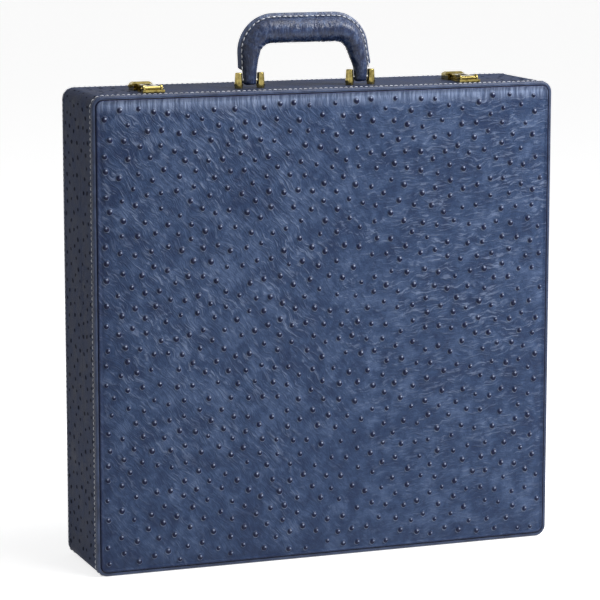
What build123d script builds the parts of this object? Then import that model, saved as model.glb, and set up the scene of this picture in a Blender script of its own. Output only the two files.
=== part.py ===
from build123d import *
import os
from math import radians, tan

# A leather-covered chess case, stood on its hinge side with the handle on top.
# X runs along the width, Y from the front panel to the back panel, Z upwards.
# The origin is the middle of the underside.

# Overall sizes
case_width = 480.0
case_height = 468.0
case_depth = 104.0
corner_radius = 11.0
parting_from_front = 42.0
parting_gap = 0.3

# Sheet thicknesses
cover_thickness = 1.2
wall_thickness = 8.0
panel_thickness = 4.0
lining_thickness = 0.8
turn_in = 10.0

# Rim and padded panels
rim_width = 3.3
rim_depth = 2.5
rim_round = 2.0
groove_width = 0.4
pad_proud = 2.5
pad_edge_round = 3.6

# Hinge along the underside
hinge_length = 420.0
hinge_knuckles = 21
knuckle_radius = 2.0
knuckle_gap = 0.3
hinge_axis_height = 2.2
hinge_pin_radius = 0.8
running_gap = 0.05
leaf_thickness = 1.0
leaf_height = 9.0
knuckle_clearance = 0.6
hinge_rebate = 2.7
hinge_screw_count = 8
hinge_screw_radius = 1.1
hinge_screw_head = 1.6
hinge_screw_length = 9.0
hinge_head_depth = 0.5

# Lip that lines the two halves up
lip_thickness = 2.0
lip_reach = 4.0
lip_seat = 12.0
lip_clearance = 0.4
lip_corner_margin = 22.0

# Handle and latches sit a little left of the middle, as photographed
handle_offset = -12.0
latch_offset = -9.0

# Handle
handle_from_front = 33.0
handle_height = 72.5
handle_leg_spacing = 116.0
handle_leg_lean = 6.6
handle_sway = -4.0
handle_upright = 16.0
handle_bend_radius = 23.0
swell_share = 0.36
grip_thickness = 24.8
grip_sections = 40
foot_width = 13.2
foot_thickness = 12.0
flange_height = 4.4
flange_overlap = 4.0
flange_thickness = 3.0
flange_foot = 14.0
flange_points = 24
handle_core_radius = 3.6
handle_pin_height = 8.0
handle_pin_radius = 1.5
foot_drop = 4.8

# Turned posts that hold the handle pins
post_spacing = 22.6
post_height = 15.5
post_base_radius = 3.9
post_base_height = 2.2
post_ring_radius = 4.5
post_ring_height = 2.4
post_body_radius = 4.05
post_top_radius = 3.5
post_top_round = 1.2
post_screw_radius = 1.5
post_screw_head = 3.0
post_screw_head_height = 2.0
post_screw_bite = 4.0
pin_bite = 2.0

# Latches
latch_spacing = 330.0
latch_width = 21.0
latch_plate_width = 19.0
latch_plate_thickness = 1.0
hasp_plate_front = 13.0
hasp_plate_back = 38.0
ear_thickness = 1.5
ear_radius = 3.8
ear_from_front = 19.0
hasp_pin_height = 4.2
hasp_pin_radius = 1.0
hasp_pin_end = 1.6
hasp_barrel_radius = 2.4
hasp_arm_thickness = 1.6
hasp_arm_width = 13.6
hasp_side_gap = 0.3
hasp_tip = 49.0
hasp_nose_length = 1.6
hasp_nose_drop = 1.4
lip_bar_height = 2.2
housing_front = 44.0
housing_back = 61.0
housing_height = 8.0
cheek_height = 5.2
cheek_depth = 7.0
notch_width = 14.8
housing_wall = 1.5
housing_bevel = 2.4
housing_bevel_height = 1.8
button_width = 4.0
button_height = 2.8
button_proud = 2.2
button_round = 0.6
button_travel = 1.8
button_from_front = 56.0
button_gap = 0.15
bolt_width = 5.0
bolt_gap = 0.7
spring_strip = 0.5
spring_overhang = 1.4
rivet_radius = 1.1
rivet_head = 1.8
rivet_head_height = 0.6
rivet_tail = 2.2
rivet_tail_height = 0.7

# Chessboard
squares_per_side = 8
board_border = 20.0
board_side_gap = 4.0
board_thickness = 9.0
inlay_depth = 1.2
board_gap = 0.3
bed_height = 6.7

# Trays and chessmen
tray_thickness = 32.0
tray_gap = 0.4
recess_gap = 0.3
recess_end_gap = 1.0
axis_below_face = 3.0
men_rows = 8
row_slack = 2.0

king_height = 92.0
king_base = 38.0
queen_height = 84.0
queen_base = 36.0
bishop_height = 72.0
bishop_base = 33.0
knight_height = 66.0
knight_base = 34.0
rook_height = 56.0
rook_base = 34.0
pawn_height = 50.0
pawn_base = 29.0

# How far a cutting shape reaches past the piece it cuts
overcut = 1.0

# Levels worked out from the sizes
rim_front = -case_depth / 2
rim_back = case_depth / 2
parting = rim_front + parting_from_front
lid_edge = parting - parting_gap / 2
body_edge = parting + parting_gap / 2
front_panel_face = rim_front + rim_depth
back_panel_face = rim_back - rim_depth
lid_wall_front = front_panel_face + panel_thickness
body_wall_back = back_panel_face - panel_thickness
lid_floor = lid_wall_front + lining_thickness
body_floor = body_wall_back - lining_thickness
wall_inset = cover_thickness + wall_thickness
inner_inset = wall_inset + lining_thickness
inner_half_width = case_width / 2 - inner_inset
inner_top = case_height - inner_inset
inner_bottom = inner_inset
pad_inset = rim_width + groove_width
handle_y = rim_front + handle_from_front
pin_level = case_height + handle_pin_height
leaf_seat = parting_gap / 2 + leaf_thickness
tray_face = body_floor - tray_thickness
tray_outer = inner_half_width - lip_thickness - tray_gap
tray_top = inner_top - lip_thickness - tray_gap
tray_width = tray_outer - tray_gap / 2
men_axis = tray_face + axis_below_face
row_pitch = (inner_top - inner_bottom) / men_rows - row_slack
column_from_tray_middle = tray_width / 4
board_half = min(inner_half_width, (inner_top - inner_bottom) / 2) - board_side_gap
square_size = 2 * (board_half - board_border) / squares_per_side
board_middle = (inner_top + inner_bottom) / 2
board_face = lid_floor + board_thickness
latch_y_front = rim_front + hasp_plate_front
latch_y_back = rim_front + hasp_plate_back
ear_y = rim_front + ear_from_front
hasp_pin_level = case_height + hasp_pin_height
hasp_tip_y = rim_front + hasp_tip
housing_y_front = rim_front + housing_front
housing_y_back = rim_front + housing_back
notch_back = housing_y_front + cheek_depth
button_y = rim_front + button_from_front
latch_sides = {"left": -1, "right": 1}
far = 2 * case_width
quarter_bulge = tan(radians(90 / 4)) / 2


def block(x, y, z):
    """A box from three pairs of limits."""
    middle = Pos((x[0] + x[1]) / 2, (y[0] + y[1]) / 2, (z[0] + z[1]) / 2)
    return middle * Box(x[1] - x[0], y[1] - y[0], z[1] - z[0])


def rod_x(radius, x, y, z):
    """A round bar along X between two limits."""
    return Pos((x[0] + x[1]) / 2, y, z) * Rot(0, 90, 0) * Cylinder(radius, x[1] - x[0])


def rod_y(radius, x, y, z):
    """A round bar along Y between two limits."""
    return Pos(x, (y[0] + y[1]) / 2, z) * Rot(90, 0, 0) * Cylinder(radius, y[1] - y[0])


def rod_z(radius, x, y, z):
    """A round bar along Z between two limits."""
    return Pos(x, y, (z[0] + z[1]) / 2) * Cylinder(radius, z[1] - z[0])


def arc(start, end, bulge):
    """An arc in the drawing plane that stands out by a share of its chord."""
    run = Vector(*end) - Vector(*start)
    middle = (Vector(*start) + Vector(*end)) / 2 + Vector(run.Y, -run.X) * bulge
    return ThreePointArc(start, middle, end)


def outline(inset):
    """The rounded square of the case, drawn in from its edge."""
    width = case_width - 2 * inset
    height = case_height - 2 * inset
    radius = corner_radius - inset
    if radius > rim_round:
        return RectangleRounded(width, height, radius)
    return Rectangle(width, height)


def slab(inset, y_from, y_to):
    """The case outline, drawn in and given a thickness along Y."""
    face = Plane.XZ.offset(-y_to) * Pos(0, case_height / 2) * outline(inset)
    return extrude(face, y_to - y_from)


def ring(outer_inset, inner_inset_of_ring, y_from, y_to):
    """A closed band that follows the case outline."""
    return slab(outer_inset, y_from, y_to) - slab(inner_inset_of_ring, y_from, y_to)


def under_zone():
    """The straight stretch of the underside, between the rounded corners."""
    half = case_width / 2 - corner_radius
    everywhere = (-case_depth, case_depth)
    floor = block((-inner_half_width, inner_half_width), everywhere, (wall_inset, inner_bottom))
    return block((-half, half), everywhere, (-overcut, inner_bottom)) + floor


def hinge_relief():
    """Room round the hinge axis, so that the halves can swing apart."""
    half = hinge_length / 2 + knuckle_gap
    top = hinge_axis_height + knuckle_radius + knuckle_clearance
    limits = (parting - hinge_rebate, parting + hinge_rebate)
    groove = block((-half, half), limits, (-overcut, top))
    slope = make_face(
        Polyline(
            (0, parting - hinge_rebate, 0),
            (0, parting - hinge_rebate, -overcut),
            (0, parting + hinge_rebate, -overcut),
            (0, parting + hinge_rebate, 0),
            (0, parting, hinge_axis_height),
            close=True,
        )
    )
    return groove + Pos(-case_width, 0, 0) * extrude(slope, 2 * case_width, dir=(1, 0, 0))


def leaf_recess(sign):
    """Room for one hinge leaf in the edge of the lower wall."""
    half = hinge_length / 2 + knuckle_gap
    limits = sorted((parting, parting + sign * leaf_seat))
    return block((-half, half), limits, (-overcut, leaf_height + parting_gap))


def men_layout():
    """Kind, column and row of each chessman in one tray."""
    first_rows = [
        ("king", "queen"),
        ("bishops", "bishops"),
        ("knights", "knights"),
        ("rooks", "rooks"),
    ]
    rows = first_rows + [("pawns", "pawns")] * (men_rows - len(first_rows))
    places = []
    for row, kinds in enumerate(rows):
        z = board_middle + row_pitch * ((len(rows) - 1) / 2 - row)
        for column, kind in zip((-1, 1), kinds):
            places.append((kind, column, z))
    return places


men_sizes = {
    "king": (king_height, king_base),
    "queen": (queen_height, queen_base),
    "bishops": (bishop_height, bishop_base),
    "knights": (knight_height, knight_base),
    "rooks": (rook_height, rook_base),
    "pawns": (pawn_height, pawn_base),
}


# The two wooden frames and their panels

def wall_holes(sign):
    """Holes in the walls for the screws and rivets of one half."""
    holes = []
    deep = case_height - wall_inset - overcut
    high = case_height + overcut
    if sign < 0:
        for x in post_places():
            holes.append(rod_z(post_screw_radius, x, handle_y, (deep, high)))
        for x, y in hasp_plate_rivet_places():
            holes.append(rod_z(rivet_radius, x, y, (deep, high)))
    else:
        for x, y in housing_rivet_places():
            holes.append(rod_z(rivet_radius, x, y, (deep, high)))
    for x in hinge_screw_places():
        limits = sorted((parting, parting + sign * (leaf_seat + hinge_screw_length)))
        holes.append(rod_y(hinge_screw_radius, x, limits, hinge_screw_level()))
    return holes


def head_reliefs(sign):
    """Room in the cloth and the turned-in leather for the heads inside one half."""
    heads = [(x, y, rivet_tail) for x, y in rivet_places(sign)]
    if sign < 0:
        heads += [(x, handle_y, post_screw_head) for x in post_places()]
    limits = (inner_top - overcut, case_height - wall_inset)
    return [rod_z(radius + recess_gap, x, y, limits) for x, y, radius in heads]


def frame_walls(prefix, sign, y_edge, y_panel):
    """The four walls of one half, cut from a band that follows the outline."""
    edge = y_edge + sign * cover_thickness
    y_from, y_to = sorted((edge, y_panel))
    band = ring(cover_thickness, wall_inset, y_from, y_to)
    for hole in wall_holes(sign):
        band -= hole
    band = band - hinge_relief() - leaf_recess(sign)
    side = case_width / 2 - wall_inset
    everywhere = (-case_depth, case_depth)
    top = block((-far, far), everywhere, (case_height - wall_inset, far))
    bottom = block((-side, side), everywhere, (-far, wall_inset))
    left = block((-far, -side), everywhere, (-far, case_height - wall_inset))
    right = block((side, far), everywhere, (-far, case_height - wall_inset))
    return {
        prefix + "_wall_top": band & top,
        prefix + "_wall_bottom": band & bottom,
        prefix + "_wall_left": band & left,
        prefix + "_wall_right": band & right,
    }


def cover(sign, y_edge, y_panel_face, y_panel):
    """The leather over the top and the sides, turned in at the parting line."""
    y_outer = sorted((y_edge, y_panel_face))
    y_wall = sorted((y_edge + sign * cover_thickness, y_panel))
    y_turn = sorted((y_edge, y_edge + sign * (cover_thickness + turn_in)))
    skin = ring(0, cover_thickness, *y_outer)
    skin += ring(0, inner_inset, *sorted((y_edge, y_edge + sign * cover_thickness)))
    skin += ring(wall_inset, inner_inset, *y_turn)
    skin = skin - ring(cover_thickness, wall_inset, *y_wall) - under_zone()
    for hole in wall_holes(sign) + head_reliefs(sign):
        skin -= hole
    return skin - hinge_relief()


def base_cover(y_edge, y_panel_face):
    """The leather strip on the underside of one half."""
    half = case_width / 2 - corner_radius
    strip = block((-half, half), sorted((y_edge, y_panel_face)), (0, cover_thickness))
    return strip - hinge_relief()


def lining(sign, y_edge, y_panel):
    """The cloth on the walls and the panel inside one half."""
    y_floor = y_panel - sign * lining_thickness
    y_stop = y_edge + sign * (cover_thickness + turn_in)
    cloth = ring(wall_inset, inner_inset, *sorted((y_stop, y_panel)))
    cloth += slab(wall_inset, *sorted((y_floor, y_panel)))
    half = case_width / 2 - wall_inset - lining_thickness
    edge = parting + sign * (leaf_seat + hinge_head_depth)
    cloth += block((-half, half), sorted((edge, y_stop)), (wall_inset, inner_inset))
    for hole in head_reliefs(sign):
        cloth -= hole
    return cloth


def rim(front):
    """The rolled leather edge round a padded panel."""
    limits = (rim_front, front_panel_face) if front else (back_panel_face, rim_back)
    edge = ring(0, rim_width, *limits)
    face = edge.faces().sort_by(Axis.Y)[0 if front else -1]
    return fillet(face.outer_wire().edges(), rim_round)


def pad(front):
    """A padded leather panel with its edge rolled down into the groove."""
    if front:
        cushion = slab(pad_inset, rim_front - pad_proud, front_panel_face)
        face = cushion.faces().sort_by(Axis.Y)[0]
    else:
        cushion = slab(pad_inset, back_panel_face, rim_back + pad_proud)
        face = cushion.faces().sort_by(Axis.Y)[-1]
    return fillet(face.edges(), pad_edge_round)


def closing_lip():
    """Three strips inside the body that reach past the parting line into the lid."""
    y_in = (body_edge, parting + lip_seat)
    y_out = (parting - lip_reach, body_edge)
    z_side = (inner_bottom + lip_corner_margin, inner_top - lip_corner_margin)
    strips = []
    for side in (-1, 1):
        outer = side * inner_half_width
        inner = side * (inner_half_width - lip_thickness)
        tip = side * (inner_half_width - lip_clearance)
        strips.append(block(sorted((inner, outer)), y_in, z_side)
                      + block(sorted((inner, tip)), y_out, z_side))
    x_top = (-inner_half_width + lip_corner_margin, inner_half_width - lip_corner_margin)
    z_under = inner_top - lip_thickness
    strips.append(block(x_top, y_in, (z_under, inner_top))
                  + block(x_top, y_out, (z_under, inner_top - lip_clearance)))
    return Compound(children=strips)


# Hinge

def hinge_screw_places():
    """Where the hinge screws sit along the leaf."""
    pitch = hinge_length / hinge_screw_count
    return [pitch * (n + 0.5) - hinge_length / 2 for n in range(hinge_screw_count)]


def hinge_screw_level():
    """Height of the hinge screws, mid way up the part of the leaf above the knuckles."""
    lowest = hinge_axis_height + knuckle_radius + knuckle_clearance
    return (lowest + leaf_height) / 2


def hinge_leaf(sign):
    """One leaf with its share of the knuckles."""
    half = hinge_length / 2
    pitch = hinge_length / hinge_knuckles
    y_leaf = sorted((parting + sign * parting_gap / 2, parting + sign * leaf_seat))
    lowest = hinge_axis_height + knuckle_radius + knuckle_clearance
    leaf = block((-half, half), y_leaf, (lowest, leaf_height))
    first = 0 if sign > 0 else 1
    for n in range(first, hinge_knuckles, 2):
        x = (-half + n * pitch + knuckle_gap / 2, -half + (n + 1) * pitch - knuckle_gap / 2)
        leaf += rod_x(knuckle_radius, x, parting, hinge_axis_height)
        leaf += block(x, y_leaf, (hinge_axis_height, lowest))
    leaf -= rod_x(hinge_pin_radius + running_gap, (-far, far), parting, hinge_axis_height)
    for x in hinge_screw_places():
        leaf -= rod_y(hinge_screw_radius, x, y_leaf, hinge_screw_level())
        y_head = sorted((y_leaf[0] if sign > 0 else y_leaf[1],
                         parting + sign * (parting_gap / 2 + hinge_head_depth)))
        leaf -= rod_y(hinge_screw_head, x, y_head, hinge_screw_level())
    return leaf


def hinge_screws(sign):
    """The countersunk screws that hold one leaf."""
    start = parting + sign * parting_gap / 2
    under_head = start + sign * hinge_head_depth
    end = parting + sign * (leaf_seat + hinge_screw_length)
    screws = []
    for x in hinge_screw_places():
        head = rod_y(hinge_screw_head, x, sorted((start, under_head)), hinge_screw_level())
        shank = rod_y(hinge_screw_radius, x, sorted((under_head, end)), hinge_screw_level())
        screws.append(head + shank)
    return Compound(children=screws)


def hinge_pin():
    """The wire that both leaves turn on."""
    half = hinge_length / 2
    return rod_x(hinge_pin_radius, (-half, half), parting, hinge_axis_height)


# Handle

def leg_places():
    """X of the two handle feet."""
    return [handle_offset + side * handle_leg_spacing / 2 for side in (-1, 1)]


def post_places():
    """X of the four posts, a pair for each foot."""
    return [leg + side * post_spacing / 2 for leg in leg_places() for side in (-1, 1)]


def handle_path():
    """The middle line of the handle roll, foot to foot."""
    low = pin_level - foot_drop
    knee = low + handle_upright
    high = case_height + handle_height - flange_height - grip_thickness / 2
    foot = handle_leg_spacing / 2
    shoulder = foot - handle_leg_lean
    return FilletPolyline(
        (handle_offset - foot, handle_y, low),
        (handle_offset - foot, handle_y, knee),
        (handle_offset - shoulder + handle_sway, handle_y, high),
        (handle_offset + shoulder + handle_sway, handle_y, high),
        (handle_offset + foot, handle_y, knee),
        (handle_offset + foot, handle_y, low),
        radius=handle_bend_radius,
    )


def roll_share(at):
    """How full the roll is, from 0 at a foot to 1 along the grip."""
    from_end = min(at, 1 - at)
    share = min(1.0, from_end / swell_share)
    return share * share * (3 - 2 * share)


def roll_half_sizes(at):
    """Half width in the plane of the handle, and half thickness across it."""
    share = roll_share(at)
    width = foot_width + (grip_thickness - foot_width) * share
    thick = foot_thickness + (grip_thickness - foot_thickness) * share
    return width / 2, thick / 2


def handle_grip():
    """The padded leather roll with its seam flange and the eyes for the pins."""
    path = handle_path()
    sections = []
    for n in range(grip_sections + 1):
        at = n / grip_sections
        half_width, half_thick = roll_half_sizes(at)
        place = Plane(origin=path @ at, x_dir=(0, 1, 0), z_dir=path % at)
        sections.append(place * Ellipse(half_thick, half_width))
    roll = loft(sections, ruled=True)
    grip = roll + handle_flange(path)
    grip = grip - handle_core()
    for x in leg_places():
        reach = (x - foot_width, x + foot_width)
        grip -= rod_x(handle_pin_radius + running_gap, reach, handle_y, pin_level)
    return grip


def handle_flange(path):
    """The sewn seam that stands along the outside of the roll."""
    outer = []
    inner = []
    first = flange_foot / path.length
    for n in range(flange_points + 1):
        at = first + (1 - 2 * first) * n / flange_points
        half_width, _ = roll_half_sizes(at)
        along = path % at
        out = Vector(-along.Z, 0, along.X)
        outer.append(path @ at + out * (half_width + flange_height))
        inner.append(path @ at + out * (half_width - flange_overlap))
    edge = [
        Spline(*outer),
        Line(outer[-1], inner[-1]),
        Spline(*reversed(inner)),
        Line(inner[0], outer[0]),
    ]
    face = make_face(edge)
    return extrude(face, flange_thickness / 2, both=True)


def handle_core():
    """The stiff rod inside the roll."""
    path = handle_path()
    start = Plane(origin=path @ 0, z_dir=path % 0)
    return sweep(start * Circle(handle_core_radius), path=path)


def drilled_core():
    """The core with the holes for the handle pins."""
    core = handle_core()
    for x in leg_places():
        reach = (x - foot_width, x + foot_width)
        core -= rod_x(handle_pin_radius + running_gap, reach, handle_y, pin_level)
    return core


def handle_pins():
    """A pin through each foot, held in its pair of posts."""
    half = post_spacing / 2 + pin_bite
    pins = [rod_x(handle_pin_radius, (x - half, x + half), handle_y, pin_level)
            for x in leg_places()]
    return Compound(children=pins)


def post_shape():
    """A turned post like a thimble: a foot, a ring and a tapered cap."""
    ring_top = post_base_height + post_ring_height
    shoulder = post_height - post_top_round
    flat = post_top_radius - post_top_round
    line = [
        Polyline(
            (0, post_height),
            (0, 0),
            (post_base_radius, 0),
            (post_base_radius, post_base_height),
            (post_ring_radius, post_base_height),
            (post_ring_radius, ring_top),
            (post_body_radius, ring_top),
            (post_top_radius, shoulder),
        ),
        arc((post_top_radius, shoulder), (flat, post_height), quarter_bulge),
        Line((flat, post_height), (0, post_height)),
    ]
    return revolve(Plane.XZ * make_face(line), Axis.Z)


def handle_posts():
    """Four turned brass posts, bored for the pins and tapped for their screws."""
    posts = []
    for leg in leg_places():
        for side in (-1, 1):
            x = leg + side * post_spacing / 2
            post = Pos(x, handle_y, case_height) * post_shape()
            bore = sorted((leg, x + side * pin_bite))
            post -= rod_x(handle_pin_radius, bore, handle_y, pin_level)
            bite = (case_height - overcut, case_height + post_screw_bite)
            post -= rod_z(post_screw_radius, x, handle_y, bite)
            posts.append(post)
    return Compound(children=posts)


def post_screws():
    """The screws that hold the posts, put in from inside the lid."""
    under = case_height - wall_inset
    screws = []
    for x in post_places():
        shank = rod_z(post_screw_radius, x, handle_y, (under, case_height + post_screw_bite))
        head = rod_z(post_screw_head, x, handle_y, (under - post_screw_head_height, under))
        screws.append(shank + head)
    return Compound(children=screws)


# Latches

def latch_places():
    """X of the middle of each latch."""
    return {name: latch_offset + side * latch_spacing / 2 for name, side in latch_sides.items()}


def hasp_plate_rivet_places():
    """The two rivets of each hinge plate."""
    y = latch_y_back - (latch_y_back - ear_y) / 3
    spread = latch_plate_width / 4
    return [(x + side * spread, y) for x in latch_places().values() for side in (-1, 1)]


def housing_rivet_places():
    """One rivet in the notch and one at the back of each housing."""
    notch_y = housing_y_front + cheek_depth / 3
    back_y = housing_y_back - cheek_depth / 2
    return [(x, y) for x in latch_places().values() for y in (notch_y, back_y)]


def rivet_places(sign):
    """The latch rivets of one half."""
    return hasp_plate_rivet_places() if sign < 0 else housing_rivet_places()


def rivets(sign):
    """Rivets through the wall, with a head on the plate and a tail under the lining."""
    plate = case_height + latch_plate_thickness
    under = case_height - wall_inset
    pieces = []
    for x, y in rivet_places(sign):
        shank = rod_z(rivet_radius, x, y, (under, plate))
        head = rod_z(rivet_head, x, y, (plate, plate + rivet_head_height))
        tail = rod_z(rivet_tail, x, y, (under - rivet_tail_height, under))
        pieces.append(shank + head + tail)
    return Compound(children=pieces)


def hasp_plate(x):
    """The plate on the lid with two ears for the hasp pin and a bar along its front."""
    top = case_height + latch_plate_thickness
    half = latch_plate_width / 2
    plate = block((x - half, x + half), (latch_y_front, latch_y_back), (case_height, top))
    for side in (-1, 1):
        ear_x = sorted((x + side * half, x + side * (half - ear_thickness)))
        ear_y_limits = (ear_y - ear_radius, ear_y + ear_radius)
        plate += block(ear_x, ear_y_limits, (case_height, hasp_pin_level))
        plate += rod_x(ear_radius, ear_x, ear_y, hasp_pin_level)
    bar = half + hasp_pin_end
    plate += block((x - bar, x + bar), (latch_y_front, latch_y_front + latch_plate_thickness),
                   (case_height, top + lip_bar_height))
    plate -= rod_x(hasp_pin_radius, (x - half, x + half), ear_y, hasp_pin_level)
    for rivet_x, rivet_y in hasp_plate_rivet_places():
        plate -= rod_z(rivet_radius, rivet_x, rivet_y, (case_height, top))
    return plate


def hasp(x):
    """The hinged arm that reaches over the parting line into the housing's notch."""
    half = latch_plate_width / 2 - ear_thickness - hasp_side_gap
    arm_half = hasp_arm_width / 2
    top = hasp_pin_level + hasp_barrel_radius
    under = top - hasp_arm_thickness
    arm = rod_x(hasp_barrel_radius, (x - half, x + half), ear_y, hasp_pin_level)
    plate = block((x - arm_half, x + arm_half), (ear_y, hasp_tip_y), (under, top))
    tip_edges = plate.edges().filter_by(Axis.Z).sort_by(Axis.Y)[-2:]
    arm += fillet(tip_edges, hasp_arm_thickness * 2)
    nose_half = bolt_width / 2
    arm += block((x - nose_half, x + nose_half), (hasp_tip_y - hasp_nose_length, hasp_tip_y),
                 (under - hasp_nose_drop, under))
    window = hasp_arm_width / 4
    arm -= block((x - window, x + window), (ear_y + hasp_barrel_radius * 2, parting - lip_reach),
                 (under - overcut, top + overcut))
    return arm - rod_x(hasp_pin_radius + running_gap, (x - half, x + half), ear_y, hasp_pin_level)


def hasp_pins():
    """The pins that the hasps turn on; their ends stand out past the ears."""
    half = latch_plate_width / 2 + hasp_pin_end
    pins = [rod_x(hasp_pin_radius, (x - half, x + half), ear_y, hasp_pin_level)
            for x in latch_places().values()]
    return Compound(children=pins)


def housing(x, side):
    """The raised brass housing on the body, with the notch, the bolt's room and a button hole."""
    half = latch_width / 2
    roof = case_height + housing_height
    floor = case_height + latch_plate_thickness
    cheeks = block((x - half, x + half), (housing_y_front, notch_back),
                   (case_height, case_height + cheek_height))
    dome = block((x - half, x + half), (notch_back, housing_y_back), (case_height, roof))
    dome = chamfer(dome.faces().sort_by(Axis.Z)[-1].edges(), housing_bevel_height, housing_bevel)
    shell = cheeks + dome
    notch = notch_width / 2
    shell -= block((x - notch, x + notch), (housing_y_front, notch_back), (floor, roof))
    room = half - housing_wall
    room_y = (notch_back + housing_wall, housing_y_back - housing_wall)
    shell -= block((x - room, x + room), room_y,
                   (floor, roof - housing_bevel_height - housing_wall / 2))
    window = bolt_width / 2 + button_gap + button_travel
    shell -= block((x - window, x + window), (notch_back, room_y[0]),
                   (button_z()[0] - button_gap, button_z()[1] + button_gap))
    hole_x = sorted((x + side * room, x + side * half))
    shell -= block(hole_x, (button_y - button_width / 2 - button_gap,
                            button_y + button_width / 2 + button_gap),
                   (button_z()[0] - button_gap, button_z()[1] + button_gap))
    for rivet_x, rivet_y in housing_rivet_places():
        shell -= rod_z(rivet_radius, rivet_x, rivet_y, (case_height, floor))
    return shell


def button_z():
    """Lower and upper face of the button."""
    low = case_height + latch_plate_thickness + hasp_nose_drop
    return low, low + button_height


def latch_button(x, side):
    """The side button with the bolt that stands behind the hasp's nose."""
    half = latch_width / 2
    z = button_z()
    y = (button_y - button_width / 2, button_y + button_width / 2)
    shank = block(sorted((x - side * bolt_width / 2, x + side * (half + button_proud))), y, z)
    outer = shank.faces().sort_by(Axis.X)[-1 if side > 0 else 0]
    shank = fillet(outer.edges(), button_round)
    bolt = block((x - bolt_width / 2, x + bolt_width / 2),
                 (hasp_tip_y + bolt_gap, button_y), z)
    return shank + bolt


def latch_spring(x, side):
    """A bent leaf between the bolt and the far wall of the housing."""
    near = x - side * bolt_width / 2
    wall = x - side * (latch_width / 2 - housing_wall)
    reach = button_width / 2 + spring_overhang
    slope = abs(near - wall) / reach
    points = [
        (wall, button_y - reach),
        (near, button_y),
        (wall, button_y + reach),
        (wall, button_y + reach - spring_strip),
        (near - side * spring_strip * slope, button_y),
        (wall, button_y - reach + spring_strip),
    ]
    low, high = button_z()
    leaf = make_face(Polyline(*[(px, py, low) for px, py in points], close=True))
    return extrude(leaf, high - low, dir=(0, 0, 1))


# Chessboard

def square(column, row):
    """One inlaid square of the board."""
    left = (column - squares_per_side / 2) * square_size
    low = board_middle + (row - squares_per_side / 2) * square_size
    return block((left, left + square_size), (board_face - inlay_depth, board_face),
                 (low, low + square_size))


def squares(odd):
    """All the squares of one colour."""
    places = [(c, r) for c in range(squares_per_side) for r in range(squares_per_side)]
    return Compound(children=[square(c, r) for c, r in places if (c + r) % 2 == odd])


def chessboard():
    """The board's panel and border, with the bed for the inlaid squares."""
    half = squares_per_side * square_size / 2
    panel = block((-board_half, board_half), (lid_floor, board_face),
                  (board_middle - board_half, board_middle + board_half))
    return panel - block((-half, half), (board_face - inlay_depth, board_face),
                         (board_middle - half, board_middle + half))


def board_bed():
    """Four padded strips that hold the board in the lid."""
    y = (lid_floor, lid_floor + bed_height)
    hold = board_half + board_gap
    strips = []
    for side in (-1, 1):
        x = sorted((side * hold, side * inner_half_width))
        strips.append(block(x, y, (inner_bottom, inner_top)))
    for low, high in ((inner_bottom, board_middle - hold), (board_middle + hold, inner_top)):
        strips.append(block((-hold, hold), y, (low, high)))
    return Compound(children=strips)


# Trays

def tray_middle(side):
    """X of the middle of one tray."""
    return side * (tray_outer + tray_gap / 2) / 2


def man_place(side, column, z, height):
    """Where a man's foot is, and which way it lies."""
    x = tray_middle(side) + column * column_from_tray_middle
    return x - height / 2, men_axis, z


def recess(side, kind, column, z):
    """The trough that one man lies in."""
    height, base = men_sizes[kind]
    x = tray_middle(side) + column * column_from_tray_middle
    half = height / 2 + recess_end_gap
    radius = base / 2 + recess_gap
    trough = rod_x(radius, (x - half, x + half), men_axis, z)
    mouth = block((x - half, x + half), (tray_face, men_axis), (z - radius, z + radius))
    return trough + mouth


def tray(side):
    """A cloth-covered block with a trough for each man."""
    x = sorted((side * tray_gap / 2, side * tray_outer))
    body = block(x, (tray_face, body_floor), (inner_bottom + tray_gap, tray_top))
    for kind, column, z in men_layout():
        body -= recess(side, kind, column, z)
    return body


# Chessmen: turned about Z, foot at the origin, then laid down

def turned(points, curves):
    """A turned solid from an outline; a curve bulges a stretch by a share of its length."""
    line = []
    for n in range(len(points) - 1):
        if n in curves:
            line.append(arc(points[n], points[n + 1], curves[n]))
        else:
            line.append(Line(points[n], points[n + 1]))
    line.append(Line(points[-1], points[0]))
    return revolve(Plane.XZ * make_face(line), Axis.Z)


def stem(base, height, collar, neck):
    """The foot, the waist and the collar that all men share, as points and curves."""
    foot = base / 2
    step = base / 11
    points = [
        (0, 0),
        (foot, 0),
        (foot, step),
        (foot * 0.86, step * 1.9),
        (foot * 0.82, step * 2.6),
        (foot * 0.6, step * 3.9),
        (neck, height * 0.98),
        (collar, height * 0.985),
        (collar, height * 1.03),
        (neck * 1.04, height * 1.07),
    ]
    curves = {2: 0.25, 4: -0.12, 5: -0.11, 7: 0.5}
    return points, curves


def pawn():
    """A pawn with a round head."""
    head = pawn_base * 0.27
    collar_at = pawn_height - 2 * head - pawn_base / 11
    points, curves = stem(pawn_base, collar_at, pawn_base * 0.29, pawn_base * 0.15)
    start = len(points) - 1
    points.append((head, pawn_height - head))
    points.append((0, pawn_height))
    curves.update({start: 0.16, start + 1: quarter_bulge})
    return turned(points, curves)


def rook():
    """A rook with a notched rim."""
    wide = rook_base * 0.36
    points, curves = stem(rook_base, rook_height * 0.68, rook_base * 0.33, rook_base * 0.25)
    start = len(points) - 1
    lip = rook_height * 0.82
    points += [
        (wide, lip),
        (wide, rook_height),
        (wide * 0.62, rook_height),
        (wide * 0.62, lip),
        (0, lip),
    ]
    curves.update({start: -0.1})
    tower = turned(points, curves)
    notch = Pos(0, 0, rook_height) * Box(rook_base * 0.09, rook_base, (rook_height - lip) * 0.9)
    for turn in range(3):
        tower -= Rot(0, 0, 60 * turn) * notch
    return tower


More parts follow.
